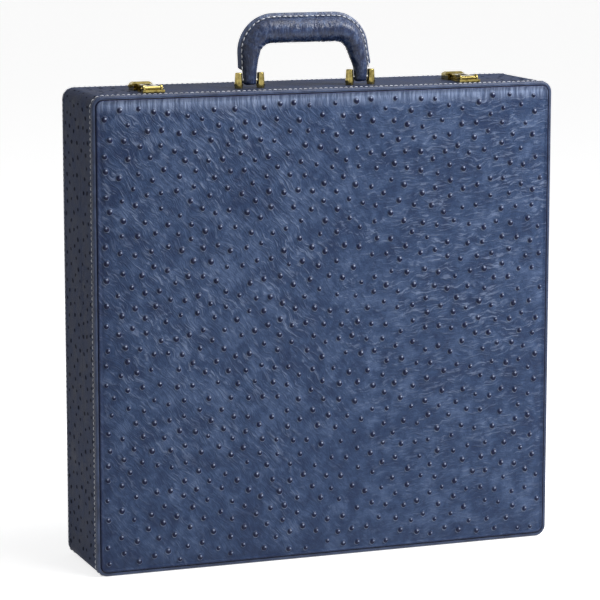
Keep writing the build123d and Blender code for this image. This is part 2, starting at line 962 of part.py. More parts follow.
def bishop():
    """A bishop with a slit mitre and a bead on top."""
    bead = bishop_base * 0.07
    points, curves = stem(bishop_base, bishop_height * 0.62, bishop_base * 0.3, bishop_base * 0.15)
    start = len(points) - 1
    points += [
        (bishop_base * 0.21, bishop_height * 0.77),
        (bead * 0.6, bishop_height - 2 * bead),
        (bead, bishop_height - bead),
        (0, bishop_height),
    ]
    curves.update({start: 0.14, start + 1: 0.12, start + 2: 0.1, start + 3: quarter_bulge})
    mitre = turned(points, curves)
    slit = Pos(bishop_base * 0.17, 0, bishop_height * 0.85)
    slit = slit * Rot(0, 35, 0) * Box(bishop_base * 0.04, bishop_base, bishop_height * 0.16)
    return mitre - slit


def queen():
    """A queen with a notched coronet and a ball."""
    ball = queen_base * 0.09
    points, curves = stem(queen_base, queen_height * 0.7, queen_base * 0.31, queen_base * 0.17)
    start = len(points) - 1
    crown = queen_base * 0.27
    points += [
        (crown, queen_height * 0.9),
        (crown * 0.74, queen_height * 0.9),
        (ball * 0.6, queen_height - 2 * ball),
        (ball, queen_height - ball),
        (0, queen_height),
    ]
    curves.update({start: -0.12, start + 2: 0.12, start + 3: 0.1, start + 4: quarter_bulge})
    lady = turned(points, curves)
    for n in range(8):
        lady -= Rot(0, 0, 45 * n + 22.5) * Pos(crown, 0, queen_height * 0.905) * Sphere(ball * 0.62)
    return lady


def king():
    """A king with a plain cross on top."""
    points, curves = stem(king_base, king_height * 0.68, king_base * 0.31, king_base * 0.18)
    start = len(points) - 1
    crown = king_base * 0.26
    cross = king_height * 0.1
    points += [
        (crown, king_height * 0.86),
        (crown * 0.9, king_height * 0.875),
        (king_base * 0.06, king_height * 0.9),
        (0, king_height * 0.905),
    ]
    curves.update({start: -0.1, start + 2: 0.14})
    man = turned(points, curves)
    arm = king_base * 0.045
    upright = block((-arm, arm), (-arm, arm), (king_height * 0.89, king_height))
    bar = block((-cross / 2, cross / 2), (-arm, arm),
                (king_height - cross * 0.62 - arm, king_height - cross * 0.62 + arm))
    return man + upright + bar


def knight():
    """A knight: a plain horse's head on a turned foot."""
    seat = knight_height * 0.27
    points, curves = stem(knight_base, seat, knight_base * 0.36, knight_base * 0.33)
    foot = turned(points + [(0, seat * 1.07)], curves)
    w = knight_base
    h = knight_height
    outline_points = [
        (0.30 * w, 0.27 * h),
        (0.30 * w, 0.36 * h),
        (0.13 * w, 0.52 * h),
        (0.10 * w, 0.60 * h),
        (0.24 * w, 0.585 * h),
        (0.36 * w, 0.56 * h),
        (0.43 * w, 0.60 * h),
        (0.42 * w, 0.68 * h),
        (0.26 * w, 0.80 * h),
        (0.13 * w, 0.90 * h),
        (0.07 * w, 1.00 * h),
        (0.00 * w, 0.93 * h),
        (-0.20 * w, 0.86 * h),
        (-0.33 * w, 0.68 * h),
        (-0.36 * w, 0.48 * h),
        (-0.32 * w, 0.27 * h),
    ]
    profile = Plane.XZ * make_face(Polyline(*outline_points, close=True))
    head = extrude(profile, knight_base * 0.19, both=True)
    sides = head.faces().filter_by(Axis.Y).edges()
    head = chamfer(sides, knight_base * 0.05)
    return foot + head


def lay_down(man, side, column, z, height):
    """Turn a standing man to lie along X in its trough."""
    x, y, z_level = man_place(side, column, z, height)
    return Pos(x, y, z_level) * Rot(0, 90, 0) * man


def chessmen(side, suffix):
    """The sixteen men of one colour, a node for each kind."""
    makers = {
        "king": king,
        "queen": queen,
        "bishops": bishop,
        "knights": knight,
        "rooks": rook,
        "pawns": pawn,
    }
    nodes = {}
    for kind, make in makers.items():
        height = men_sizes[kind][0]
        man = make()
        laid = [lay_down(man, side, column, z, height)
                for name, column, z in men_layout() if name == kind]
        nodes[kind + suffix] = laid[0] if len(laid) == 1 else Compound(children=laid)
    return nodes


def make_nodes():
    """Every piece of the case by name."""
    places = latch_places()
    nodes = {}
    nodes.update(frame_walls("lid", -1, lid_edge, lid_wall_front))
    nodes.update(frame_walls("body", 1, body_edge, body_wall_back))
    nodes["front_panel"] = slab(cover_thickness, front_panel_face, lid_wall_front)
    nodes["back_panel"] = slab(cover_thickness, body_wall_back, back_panel_face)
    nodes["front_pad"] = pad(True)
    nodes["back_pad"] = pad(False)
    nodes["front_rim"] = rim(True)
    nodes["back_rim"] = rim(False)
    nodes["lid_cover"] = cover(-1, lid_edge, front_panel_face, lid_wall_front)
    nodes["body_cover"] = cover(1, body_edge, back_panel_face, body_wall_back)
    nodes["lid_base_cover"] = base_cover(lid_edge, front_panel_face)
    nodes["body_base_cover"] = base_cover(body_edge, back_panel_face)
    nodes["lid_lining"] = lining(-1, lid_edge, lid_wall_front)
    nodes["body_lining"] = lining(1, body_edge, body_wall_back)
    nodes["closing_lip"] = closing_lip()
    nodes["hinge_leaf_lid"] = hinge_leaf(-1)
    nodes["hinge_leaf_body"] = hinge_leaf(1)
    nodes["hinge_screws_lid"] = hinge_screws(-1)
    nodes["hinge_screws_body"] = hinge_screws(1)
    nodes["hinge_pin"] = hinge_pin()
    nodes["handle_grip"] = handle_grip()
    nodes["handle_core"] = drilled_core()
    nodes["handle_pins"] = handle_pins()
    nodes["handle_posts"] = handle_posts()
    nodes["post_screws"] = post_screws()
    nodes["hasp_plates"] = Compound(children=[hasp_plate(x) for x in places.values()])
    nodes["hasp_pins"] = hasp_pins()
    nodes["hasp_plate_rivets"] = rivets(-1)
    nodes["latch_housings"] = Compound(children=[housing(x, latch_sides[name])
                                                 for name, x in places.items()])
    nodes["housing_rivets"] = rivets(1)
    for name, x in places.items():
        nodes["hasp_" + name] = hasp(x)
        nodes["latch_button_" + name] = latch_button(x, latch_sides[name])
        nodes["latch_spring_" + name] = latch_spring(x, latch_sides[name])
    nodes["chessboard"] = chessboard()
    nodes["light_squares"] = squares(1)
    nodes["dark_squares"] = squares(0)
    nodes["board_bed"] = board_bed()
    nodes["tray_light"] = tray(-1)
    nodes["tray_dark"] = tray(1)
    nodes.update(chessmen(-1, "_light"))
    nodes.update(chessmen(1, "_dark"))
    return nodes


os.makedirs("parts", exist_ok=True)
for node_name, node_shape in make_nodes().items():
    export_step(node_shape, f"parts/{node_name}.step")
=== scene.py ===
import math

import bmesh
import bpy
import numpy as np
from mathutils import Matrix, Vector, noise


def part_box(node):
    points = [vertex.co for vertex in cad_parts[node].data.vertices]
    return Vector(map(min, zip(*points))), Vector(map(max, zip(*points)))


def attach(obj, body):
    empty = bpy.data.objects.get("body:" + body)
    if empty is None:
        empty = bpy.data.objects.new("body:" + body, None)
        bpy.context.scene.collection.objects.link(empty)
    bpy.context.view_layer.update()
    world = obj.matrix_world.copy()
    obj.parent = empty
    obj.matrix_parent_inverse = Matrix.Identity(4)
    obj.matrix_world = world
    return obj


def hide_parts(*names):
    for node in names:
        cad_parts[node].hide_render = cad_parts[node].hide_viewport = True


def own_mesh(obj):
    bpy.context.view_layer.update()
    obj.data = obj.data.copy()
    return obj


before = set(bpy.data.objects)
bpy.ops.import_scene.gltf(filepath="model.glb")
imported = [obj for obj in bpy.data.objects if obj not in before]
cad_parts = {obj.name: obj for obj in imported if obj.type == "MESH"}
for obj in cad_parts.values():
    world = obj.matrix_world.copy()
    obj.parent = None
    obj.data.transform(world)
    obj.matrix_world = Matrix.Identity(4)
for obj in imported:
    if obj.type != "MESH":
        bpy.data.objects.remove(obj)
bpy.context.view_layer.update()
millimetre = 0.001
print("frame loaded")


# small helpers for node trees

def addNode(tree, kind, values=None, **settings):
    node = tree.nodes.new(kind)
    for name, value in settings.items():
        setattr(node, name, value)
    for name, value in (values or {}).items():
        if isinstance(value, bpy.types.NodeSocket):
            tree.links.new(value, node.inputs[name])
        else:
            node.inputs[name].default_value = value
    return node


def mathNode(tree, operation, first, second=0.0, clamped=False):
    return addNode(tree, "ShaderNodeMath", {0: first, 1: second},
                   operation=operation, use_clamp=clamped).outputs[0]


def sharedSum(tree, first, firstShare, second):
    # two heights added in shares that make one
    return mathNode(tree, "ADD", mathNode(tree, "MULTIPLY", first, firstShare),
                    mathNode(tree, "MULTIPLY", second, 1 - firstShare))


def mixColour(tree, factor, first, second):
    return addNode(tree, "ShaderNodeMix", {0: factor, 6: first, 7: second},
                   data_type="RGBA").outputs[2]


def mixValue(tree, factor, first, second):
    return addNode(tree, "ShaderNodeMix", {0: factor, 2: first, 3: second},
                   data_type="FLOAT").outputs[0]


def mapRange(tree, value, fromLow, fromHigh, toLow=0.0, toHigh=1.0):
    return addNode(tree, "ShaderNodeMapRange",
                   {"Value": value, "From Min": fromLow, "From Max": fromHigh,
                    "To Min": toLow, "To Max": toHigh}).outputs[0]


def ownAttribute(tree, name):
    return addNode(tree, "ShaderNodeAttribute", attribute_name=name).outputs["Fac"]


def colour(red, green, blue):
    return (red, green, blue, 1.0)


def startMaterial(name, **fixed):
    material = bpy.data.materials.new(name)
    material.use_nodes = True
    tree = material.node_tree
    shader = tree.nodes["Principled BSDF"]
    for socket, value in fixed.items():
        shader.inputs[socket.replace("_", " ")].default_value = value
    where = tree.nodes.new("ShaderNodeTexCoord").outputs["Object"]
    return material, tree, shader, where


def turned(tree, where, turn=(0, 0, 0), scale=(1, 1, 1)):
    # first turned, then stretched along the turned axes
    spun = addNode(tree, "ShaderNodeMapping", {"Vector": where, "Rotation": turn})
    return addNode(tree, "ShaderNodeMapping",
                   {"Vector": spun.outputs[0], "Scale": scale}).outputs[0]


def noiseAt(tree, where, scale, detail=4.0, roughness=0.55, distortion=0.0):
    return addNode(tree, "ShaderNodeTexNoise",
                   {"Vector": where, "Scale": scale, "Detail": detail,
                    "Roughness": roughness, "Distortion": distortion}).outputs[0]


def plugIn(tree, shader, base, rough, normal):
    for socket, value in (("Base Color", base), ("Roughness", rough), ("Normal", normal)):
        tree.links.new(value, shader.inputs[socket])


def bumpOf(tree, height, strength, distance, normal=None):
    values = {"Height": height, "Strength": strength, "Distance": distance}
    if normal is not None:
        values["Normal"] = normal
    return addNode(tree, "ShaderNodeBump", values).outputs[0]


# leather: mottled dye, long fine creases that catch the light, with painted shade in their
# valleys and painted highlights on their crests and at the top edge, cracked grain, and dark
# pores with painted shade and painted glints

# what the leathers share: noise scales per metre, bump depths in metres, and where on a
# noise from nought to one a tone begins and ends, followed by what it is mapped to
hide = {
    "coatRough": 0.22, "driftScale": 42.0, "drift": (0.014, 0.014, 0.014), "secondSeed": 7.0,
    "pleatSize": (330.0, 40.0, 50.0), "pleatEdge": (-0.006, 0.003),
    "patchTimes": 5, "clusterTimes": 2.3, "grainScale": 620.0, "cellScale": 420.0,
    "cellWidth": 0.12, "broadShare": 0.25, "tone": (0.38, 0.64), "crest": (0.53, 0.68),
    "cluster": (0.36, 0.60, 0.2, 1.0), "calm": (0.35, 1.0), "topHighlight": (0.40, 0.64, 0.25, 0.9),
    "valleyShift": 0.06, "valleyWidth": 0.035, "valleyShare": 0.6, "highlightShine": 0.45,
    "creaseDepth": 0.0012, "cellDepth": 0.00022, "grainDepth": 0.00035,
}
# edges far outside the case: no pleats and no painted highlight at the top, no calmer foot for
# the painted crest highlights, no change in the creases' direction
plainLayout = {"calm": (-9.0, -8.0), "turnEdges": (-9.0, -8.0), "topPleatsAndHighlight": 9.0}
frontLeather = {
    "dark": colour(0.015, 0.031, 0.083), "middle": colour(0.028, 0.053, 0.122),
    "light": colour(0.063, 0.099, 0.194), "pore": colour(0.001, 0.004, 0.034),
    "shine": colour(0.42, 0.50, 0.70), "rough": (0.34, 0.50), "coat": 0.03,
    "specular": 0.16, "crease": 0.9, "grain": 0.35, "streak": 0.55, "calm": (0.02, 0.24),
    "streakSize": (95.0, 430.0), "turns": (math.radians(-48), math.radians(7)),
    "turnEdges": (-0.04, 0.09), "mottle": 13.0, "topPleatsAndHighlight": 0.4555, "poreRough": 0.5,
}
sideLeather = {
    "dark": colour(0.011, 0.017, 0.042), "middle": colour(0.018, 0.027, 0.062),
    "light": colour(0.030, 0.043, 0.090), "pore": colour(0.001, 0.002, 0.008),
    "shine": colour(0.10, 0.12, 0.18), "rough": (0.50, 0.66), "coat": 0.0,
    "specular": 0.05, "crease": 0.2, "grain": 0.4, "streak": 0.18, **plainLayout,
    "streakSize": (60.0, 420.0), "turns": (math.radians(90), math.radians(90)),
    "mottle": 11.0, "poreRough": 1.4,
}
rollLeather = {
    "dark": colour(0.006, 0.013, 0.044), "middle": colour(0.014, 0.028, 0.082),
    "light": colour(0.050, 0.082, 0.170), "pore": colour(0.001, 0.002, 0.014),
    "shine": colour(0.30, 0.36, 0.50), "rough": (0.19, 0.33), "coat": 0.1,
    "specular": 0.32, "crease": 0.9, "grain": 0.3, "streak": 0.35, **plainLayout,
    "streakSize": (330.0, 60.0), "turns": (0.0, 0.0), "mottle": 34.0, "poreRough": 0.5,
}
rimLeather = dict(
    sideLeather, dark=colour(0.016, 0.026, 0.062), middle=colour(0.030, 0.046, 0.098),
    light=colour(0.050, 0.072, 0.140), rough=(0.30, 0.42), specular=0.30)
boardNavy = dict(frontLeather, rough=(0.45, 0.6), coat=0.0, streak=0.1,
                 topPleatsAndHighlight=plainLayout["topPleatsAndHighlight"])
boardCream = dict(
    boardNavy, dark=colour(0.42, 0.34, 0.22), middle=colour(0.56, 0.47, 0.32),
    light=colour(0.68, 0.60, 0.44), pore=colour(0.2, 0.14, 0.08),
    shine=colour(0.75, 0.70, 0.6), mottle=16.0)


def ridged(tree, value, width):
    # one at the middle of a noise, nought past the given width on each side
    away = mathNode(tree, "ABSOLUTE", mathNode(tree, "SUBTRACT", value, 0.5))
    return mapRange(tree, away, 0.0, width, 1.0, 0.0)


def makeLeather(name, look):
    material, tree, shader, where = startMaterial(
        name, Coat_Weight=look["coat"], Coat_Roughness=hide["coatRough"],
        Specular_IOR_Level=look["specular"])
    place = addNode(tree, "ShaderNodeSeparateXYZ", {0: where})
    along, across = look["streakSize"]
    # the creases wander, so the place is nudged by a slow noise before it is stretched
    drift = addNode(tree, "ShaderNodeTexNoise", {"Vector": where, "Scale": hide["driftScale"],
                                                 "Detail": 2.0}).outputs["Color"]
    nudged = addNode(tree, "ShaderNodeVectorMath", {0: drift, 1: hide["drift"], 2: where},
                     operation="MULTIPLY_ADD").outputs[0]

    def streaks(turn, seed):
        laid = turned(tree, nudged, (0.0, turn, 0.0), (along, along, across))
        moved = addNode(tree, "ShaderNodeMapping", {"Vector": laid, "Location": (seed, 0, 0)})
        return noiseAt(tree, moved.outputs[0], 1.0, 3.0, 0.6, 0.5)

    # slanting creases on one side, level ones on the other, upright pleats at the top edge
    firstTurn, secondTurn = look["turns"]
    slanted, level = streaks(firstTurn, 0.0), streaks(secondTurn, hide["secondSeed"])
    share = mapRange(tree, place.outputs["X"], *look["turnEdges"])
    pleats = noiseAt(tree, turned(tree, where, scale=hide["pleatSize"]), 1.0, 2.0, 0.5, 0.4)
    below, above = hide["pleatEdge"]
    nearTop = mapRange(tree, place.outputs["Z"], look["topPleatsAndHighlight"] + below,
                       look["topPleatsAndHighlight"] + above)
    lines = mixValue(tree, nearTop, mixValue(tree, share, slanted, level), pleats)
    broad = noiseAt(tree, where, look["mottle"], 3.0, 0.6)
    patch = noiseAt(tree, where, look["mottle"] * hide["patchTimes"], 5.0, 0.62, 0.3)
    clusters = noiseAt(tree, where, look["mottle"] * hide["clusterTimes"], 3.0, 0.6, 0.4)
    grain = noiseAt(tree, where, hide["grainScale"], 4.0, 0.6)
    cells = addNode(tree, "ShaderNodeTexVoronoi", {"Vector": where, "Scale": hide["cellScale"]},
                    feature="DISTANCE_TO_EDGE").outputs[0]
    cells = mapRange(tree, cells, 0.0, hide["cellWidth"])
    tone = mapRange(tree, sharedSum(tree, broad, hide["broadShare"], patch), *hide["tone"])
    lower = mixColour(tree, mapRange(tree, tone, 0.0, 0.5), look["dark"], look["middle"])
    dyed = mixColour(tree, mapRange(tree, tone, 0.5, 1.0), lower, look["light"])
    # painted shade darkens the valleys of the creases, and in clusters a painted highlight
    # lightens their crests
    crest = mapRange(tree, lines, *hide["crest"])
    valley = ridged(tree, mathNode(tree, "ADD", lines, hide["valleyShift"]),
                    hide["valleyWidth"])
    crestHighlight = mathNode(tree, "MULTIPLY", crest, mapRange(tree, clusters, *hide["cluster"]))
    # the painted crest highlights are weaker towards the foot
    crestHighlight = mathNode(tree, "MULTIPLY", crestHighlight,
                      mapRange(tree, place.outputs["Z"], *look["calm"], *hide["calm"]))
    valleyShaded = mixColour(
        tree, mathNode(tree, "MULTIPLY", valley, look["streak"] * hide["valleyShare"]),
        dyed, look["dark"])
    # the colour of the painted highlights on the crests and at the top edge
    highlightTone = mixColour(tree, hide["highlightShine"], look["light"], look["shine"])
    lit = mixColour(tree, mathNode(tree, "MULTIPLY", crestHighlight, look["streak"]),
                    valleyShaded, highlightTone)
    # painted highlight along the top edge, standing in for the light from above on the rounded
    # edge
    topHighlight = mathNode(tree, "MULTIPLY", mapRange(tree, pleats, *hide["topHighlight"]), nearTop)
    lit = mixColour(tree, topHighlight, lit, highlightTone)
    # this attribute darkens the quills, partly for their darker dye and partly as painted shade,
    # and paints shade alone into the pads' groove and towards their left and lower margins
    pore = ownAttribute(tree, "pore")
    dimmed = mixColour(tree, pore, lit, look["pore"])
    glossier = mapRange(tree, pore, 0.0, 1.0, 1.0, look["poreRough"])
    low = bumpOf(tree, lines, look["crease"], hide["creaseDepth"])
    fine = bumpOf(tree, cells, look["grain"], hide["cellDepth"], low)
    # this attribute mixes in the shine colour: wear on the handle's seam edge, and a painted
    # glint and a painted highlight on the lower lip of each quill knob
    plugIn(tree, shader, mixColour(tree, ownAttribute(tree, "worn"), dimmed, look["shine"]),
           mathNode(tree, "MULTIPLY", mapRange(tree, patch, 0.3, 0.7, *look["rough"]), glossier),
           bumpOf(tree, grain, look["grain"], hide["grainDepth"], fine))
    return material


# metal: polished brass and steel with fine scratches and dulled patches

brassLook = {"bright": colour(0.42, 0.34, 0.12), "dull": colour(0.10, 0.075, 0.02),
             "rough": (0.05, 0.17)}
steelLook = {"bright": colour(0.62, 0.61, 0.58), "dull": colour(0.38, 0.37, 0.35),
             "rough": (0.22, 0.40)}


def makeMetal(name, look):
    material, tree, shader, where = startMaterial(name, Metallic=1.0)
    tarnish = noiseAt(tree, where, 170.0, 5.0, 0.65)
    scratches = turned(tree, where, (0, 0, 0.4), (900.0, 900.0, 60.0))
    smear = noiseAt(tree, scratches, 1.0, 2.0)
    amount = mapRange(tree, tarnish, 0.42, 0.66, 0.0, 0.9)
    plugIn(tree, shader, mixColour(tree, amount, look["bright"], look["dull"]),
           mapRange(tree, sharedSum(tree, tarnish, 0.6, smear), 0.3, 0.7, *look["rough"]),
           bumpOf(tree, smear, 0.08, 0.0001))
    return material


# wood with its grain along X, for the chessmen and for the walls of the case

boxwood = {"light": colour(0.66, 0.45, 0.22), "dark": colour(0.42, 0.25, 0.10),
           "rough": (0.26, 0.42)}
darkwood = {"light": colour(0.105, 0.040, 0.018), "dark": colour(0.028, 0.010, 0.006),
            "rough": (0.22, 0.38)}
casewood = {"light": colour(0.40, 0.27, 0.15), "dark": colour(0.25, 0.15, 0.075),
            "rough": (0.5, 0.7)}


def makeWood(name, look):
    material, tree, shader, where = startMaterial(name, Coat_Weight=0.15,
                                                  Coat_Roughness=0.2)
    along = turned(tree, where, scale=(18.0, 260.0, 260.0))
    grain = noiseAt(tree, along, 1.0, 5.0, 0.6, 0.9)
    tilted = turned(tree, where, (0, 0.1, 0.2), (6.0, 60.0, 60.0))
    rings = addNode(tree, "ShaderNodeTexWave",
                    {"Vector": tilted, "Scale": 1.4, "Distortion": 5.0, "Detail": 3.0},
                    wave_type="RINGS", rings_direction="X").outputs["Fac"]
    pores = noiseAt(tree, turned(tree, where, scale=(140.0, 1500.0, 1500.0)), 1.0, 2.0)
    tone = sharedSum(tree, grain, 0.6, rings)
    base = mixColour(tree, mapRange(tree, tone, 0.25, 0.75), look["dark"], look["light"])
    flecks = mapRange(tree, pores, 0.60, 0.72, 0.0, 0.55)
    plugIn(tree, shader, mixColour(tree, flecks, base, look["dark"]),
           mapRange(tree, grain, 0.3, 0.7, *look["rough"]), bumpOf(tree, tone, 0.12, 0.0004))
    return material


# napped cloth inside the case, and the waxed thread of the seams

suedeLook = {"nap": colour(0.34, 0.31, 0.28), "shade": colour(0.22, 0.20, 0.18),
             "rough": (0.78, 0.95)}
# groove and hole are the colours of the painted shade in the twist and in the needle holes
threadLook = {"yarn": colour(0.78, 0.80, 0.86), "soiled": colour(0.42, 0.44, 0.50),
              "groove": colour(0.16, 0.17, 0.2), "hole": colour(0.006, 0.008, 0.014),
              "rough": (0.5, 0.75)}


def makeSuede(name, look):
    material, tree, shader, where = startMaterial(name, Sheen_Weight=0.35,
                                                  Sheen_Roughness=0.5)
    brushed = noiseAt(tree, where, 22.0, 4.0, 0.6, 0.4)
    fibre = noiseAt(tree, where, 1500.0, 3.0, 0.7)
    mixed = mapRange(tree, sharedSum(tree, brushed, 0.6, fibre), 0.35, 0.65)
    plugIn(tree, shader, mixColour(tree, mixed, look["shade"], look["nap"]),
           mapRange(tree, brushed, 0.3, 0.7, *look["rough"]), bumpOf(tree, fibre, 0.4, 0.0005))
    return material


def makeThread(name, look):
    material, tree, shader, where = startMaterial(name, Sheen_Weight=0.2)
    twist = addNode(tree, "ShaderNodeTexWave", {"Vector": where, "Scale": 900.0,
                                                "Distortion": 2.0, "Detail": 1.0},
                    bands_direction="DIAGONAL").outputs["Fac"]
    soiled = noiseAt(tree, where, 70.0, 3.0, 0.6)
    yarn = mixColour(tree, mapRange(tree, soiled, 0.35, 0.7, 0.0, 0.7),
                     look["yarn"], look["soiled"])
    # painted shade darkens the grooves of the twist
    shaded = mixColour(tree, mapRange(tree, twist, 0.0, 1.0, 0.25, 0.0), yarn, look["groove"])
    # the needle holes are painted near black as painted shade
    plugIn(tree, shader, mixColour(tree, ownAttribute(tree, "pore"), shaded, look["hole"]),
           mapRange(tree, soiled, 0.3, 0.7, *look["rough"]), bumpOf(tree, twist, 0.5, 0.0002))
    return material


finishes = {
    "frontLeather": makeLeather("padded_leather", frontLeather),
    "sideLeather": makeLeather("side_leather", sideLeather),
    "rollLeather": makeLeather("handle_leather", rollLeather),
    "rimLeather": makeLeather("rim_leather", rimLeather),
    "boardLeather": makeLeather("board_leather", boardNavy),
    "lightLeather": makeLeather("light_square_leather", boardCream),
    "brass": makeMetal("brass", brassLook),
    "steel": makeMetal("steel", steelLook),
    "caseWood": makeWood("case_wood", casewood),
    "lightWood": makeWood("boxwood", boxwood),
    "darkWood": makeWood("dark_wood", darkwood),
    "suede": makeSuede("grey_suede", suedeLook),
    "thread": makeThread("waxed_thread", threadLook),
}
print("finishes made:", len(finishes))


# the CAD nodes' finishes: the first word found in a node's name decides

nodeFinish = [
    ("wall", "caseWood"), ("panel", "caseWood"), ("rim", "rimLeather"),
    ("cover", "sideLeather"), ("lining", "suede"), ("closing_lip", "suede"),
    ("hinge", "brass"), ("rivets", "brass"), ("screws", "brass"), ("latch_housings", "brass"),
    ("latch_spring", "steel"), ("hasp", "brass"), ("handle_posts", "brass"),
    ("handle_pins", "steel"), ("handle_core", "steel"), ("latch_button", "brass"),
    ("board_bed", "suede"), ("chessboard", "boardLeather"),
    ("light_squares", "lightLeather"), ("dark_squares", "boardLeather"),
    ("tray", "suede"), ("_light", "lightWood"), ("_dark", "darkWood"),
]
for nodeName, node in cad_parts.items():
    found = [finish for word, finish in nodeFinish if word in nodeName]
    if found:
        node.data.materials.clear()
        node.data.materials.append(finishes[found[0]])


# meshes made here

def linkPiece(name, mesh):
    piece = bpy.data.objects.new(name, mesh)
    bpy.context.scene.collection.objects.link(piece)
    return piece


def clamp(value, low=0.0, high=1.0):
    return max(low, min(high, value))


def smooth(share):
    share = clamp(share)
    return share * share * (3 - 2 * share)


def settle(mesh, merge=None):
    # points nearer than the merge distance are joined, and all faces turn outwards
    work = bmesh.new()
    work.from_mesh(mesh)
    if merge:
        bmesh.ops.remove_doubles(work, verts=work.verts, dist=merge)
    bmesh.ops.recalc_face_normals(work, faces=work.faces)
    work.to_mesh(mesh)
    work.free()


def shadeSmooth(mesh, smoothed=True):
    mesh.polygons.foreach_set("use_smooth", [smoothed] * len(mesh.polygons))


def plainMesh(name, points, faces):
    mesh = bpy.data.meshes.new(name)
    mesh.from_pydata(points, [], faces)
    return mesh


def meshPiece(name, points, faces, smoothed=True):
    mesh = plainMesh(name, points, faces)
    mesh.validate()
    settle(mesh, 0.001 * millimetre)
    shadeSmooth(mesh, smoothed)
    return linkPiece(name, mesh)


def bridge(rings):
    # quads from each closed ring of points to the next
    faces = []
    for first, second in zip(rings, rings[1:]):
        count = len(first)
        for n in range(count):
            m = (n + 1) % count
            faces.append((first[n], first[m], second[m], second[n]))
    return faces


def ringNumbers(count, sides, start=0):
    # the numbers of points that were laid down ring by ring
    return [range(start + row * sides, start + (row + 1) * sides) for row in range(count)]


def roundedOutline(low, high, radius, step):
    # points and outward directions round a rectangle in X and Z, starting low left
    width, height = high[0] - low[0], high[1] - low[1]
    alongX = max(2, round((width - 2 * radius) / step))
    alongZ = max(2, round((height - 2 * radius) / step))
    perCorner = max(4, round(math.pi / 2 * radius / step))
    corners = [
        (high[0] - radius, low[1] + radius, -90, alongX),
        (high[0] - radius, high[1] - radius, 0, alongZ),
        (low[0] + radius, high[1] - radius, 90, alongX),
        (low[0] + radius, low[1] + radius, 180, alongZ),
    ]
    last = (low[0] + radius, low[1])
    points, outward = [], []
    for cx, cz, angle, count in corners:
        first = (cx + radius * math.cos(math.radians(angle)),
                 cz + radius * math.sin(math.radians(angle)))
        facing = (math.cos(math.radians(angle)), math.sin(math.radians(angle)))
        for n in range(count):
            share = n / count
            points.append((last[0] + (first[0] - last[0]) * share,
                           last[1] + (first[1] - last[1]) * share))
            outward.append(facing)
        for n in range(perCorner):
            turn = math.radians(angle + 90 * n / perCorner)
            points.append((cx + radius * math.cos(turn), cz + radius * math.sin(turn)))
            outward.append((math.cos(turn), math.sin(turn)))
        turn = math.radians(angle + 90)
        last = (cx + radius * math.cos(turn), cz + radius * math.sin(turn))
    return points, outward


def keepShade(mesh, values, name="pore"):
    attribute = mesh.attributes.new(name, "FLOAT", "POINT")
    attribute.data.foreach_set("value", values)


padLook = {
    "corner": 7.3 * millimetre, "edgeRound": 3.6 * millimetre, "edgeRings": 9,
    "crown": 2.4 * millimetre, "crownReach": 14 * millimetre, "step": 2.0 * millimetre,
    "crease": 0.34 * millimetre, "creaseFade": 4 * millimetre, "seed": 3.0,
    "creaseTurn": math.radians(47), "turnFrom": 0.8, "turnReach": 0.14,
    "foldScale": (14, 75), "smallScale": (35, 160), "dimpleScale": (55, 55),
    "foldShare": 0.8, "smallShare": 0.35, "dimpleShare": 0.45, "foldSharp": 5,
    "groove": 1.7 * millimetre, "grooveShade": 0.95, "grooveFrom": 1.35,
    "leftShade": 0.55, "leftReach": 9 * millimetre,
    "lowShade": 0.2, "lowReach": 27 * millimetre,
}


def creaseHeight(x, z, look):
    # long shallow folds, slanting on the left and level on the right
    slant = look["creaseTurn"] * clamp(look["turnFrom"] - x / look["turnReach"])
    along = x * math.cos(slant) - z * math.sin(slant)
    across = x * math.sin(slant) + z * math.cos(slant)

    def waves(first, second, scale, seed):
        return noise.noise(Vector((first * scale[0], second * scale[1], look["seed"] + seed)))

    fold = waves(along, across, look["foldScale"], 0)
    small = waves(along, across, look["smallScale"], 9)
    dimple = waves(x, z, look["dimpleScale"], 21)
    groove = max(0.0, 1 - abs(fold) * look["foldSharp"])
    return -look["crease"] * (look["foldShare"] * groove ** 2 + look["smallShare"] * small
                              + look["dimpleShare"] * dimple)


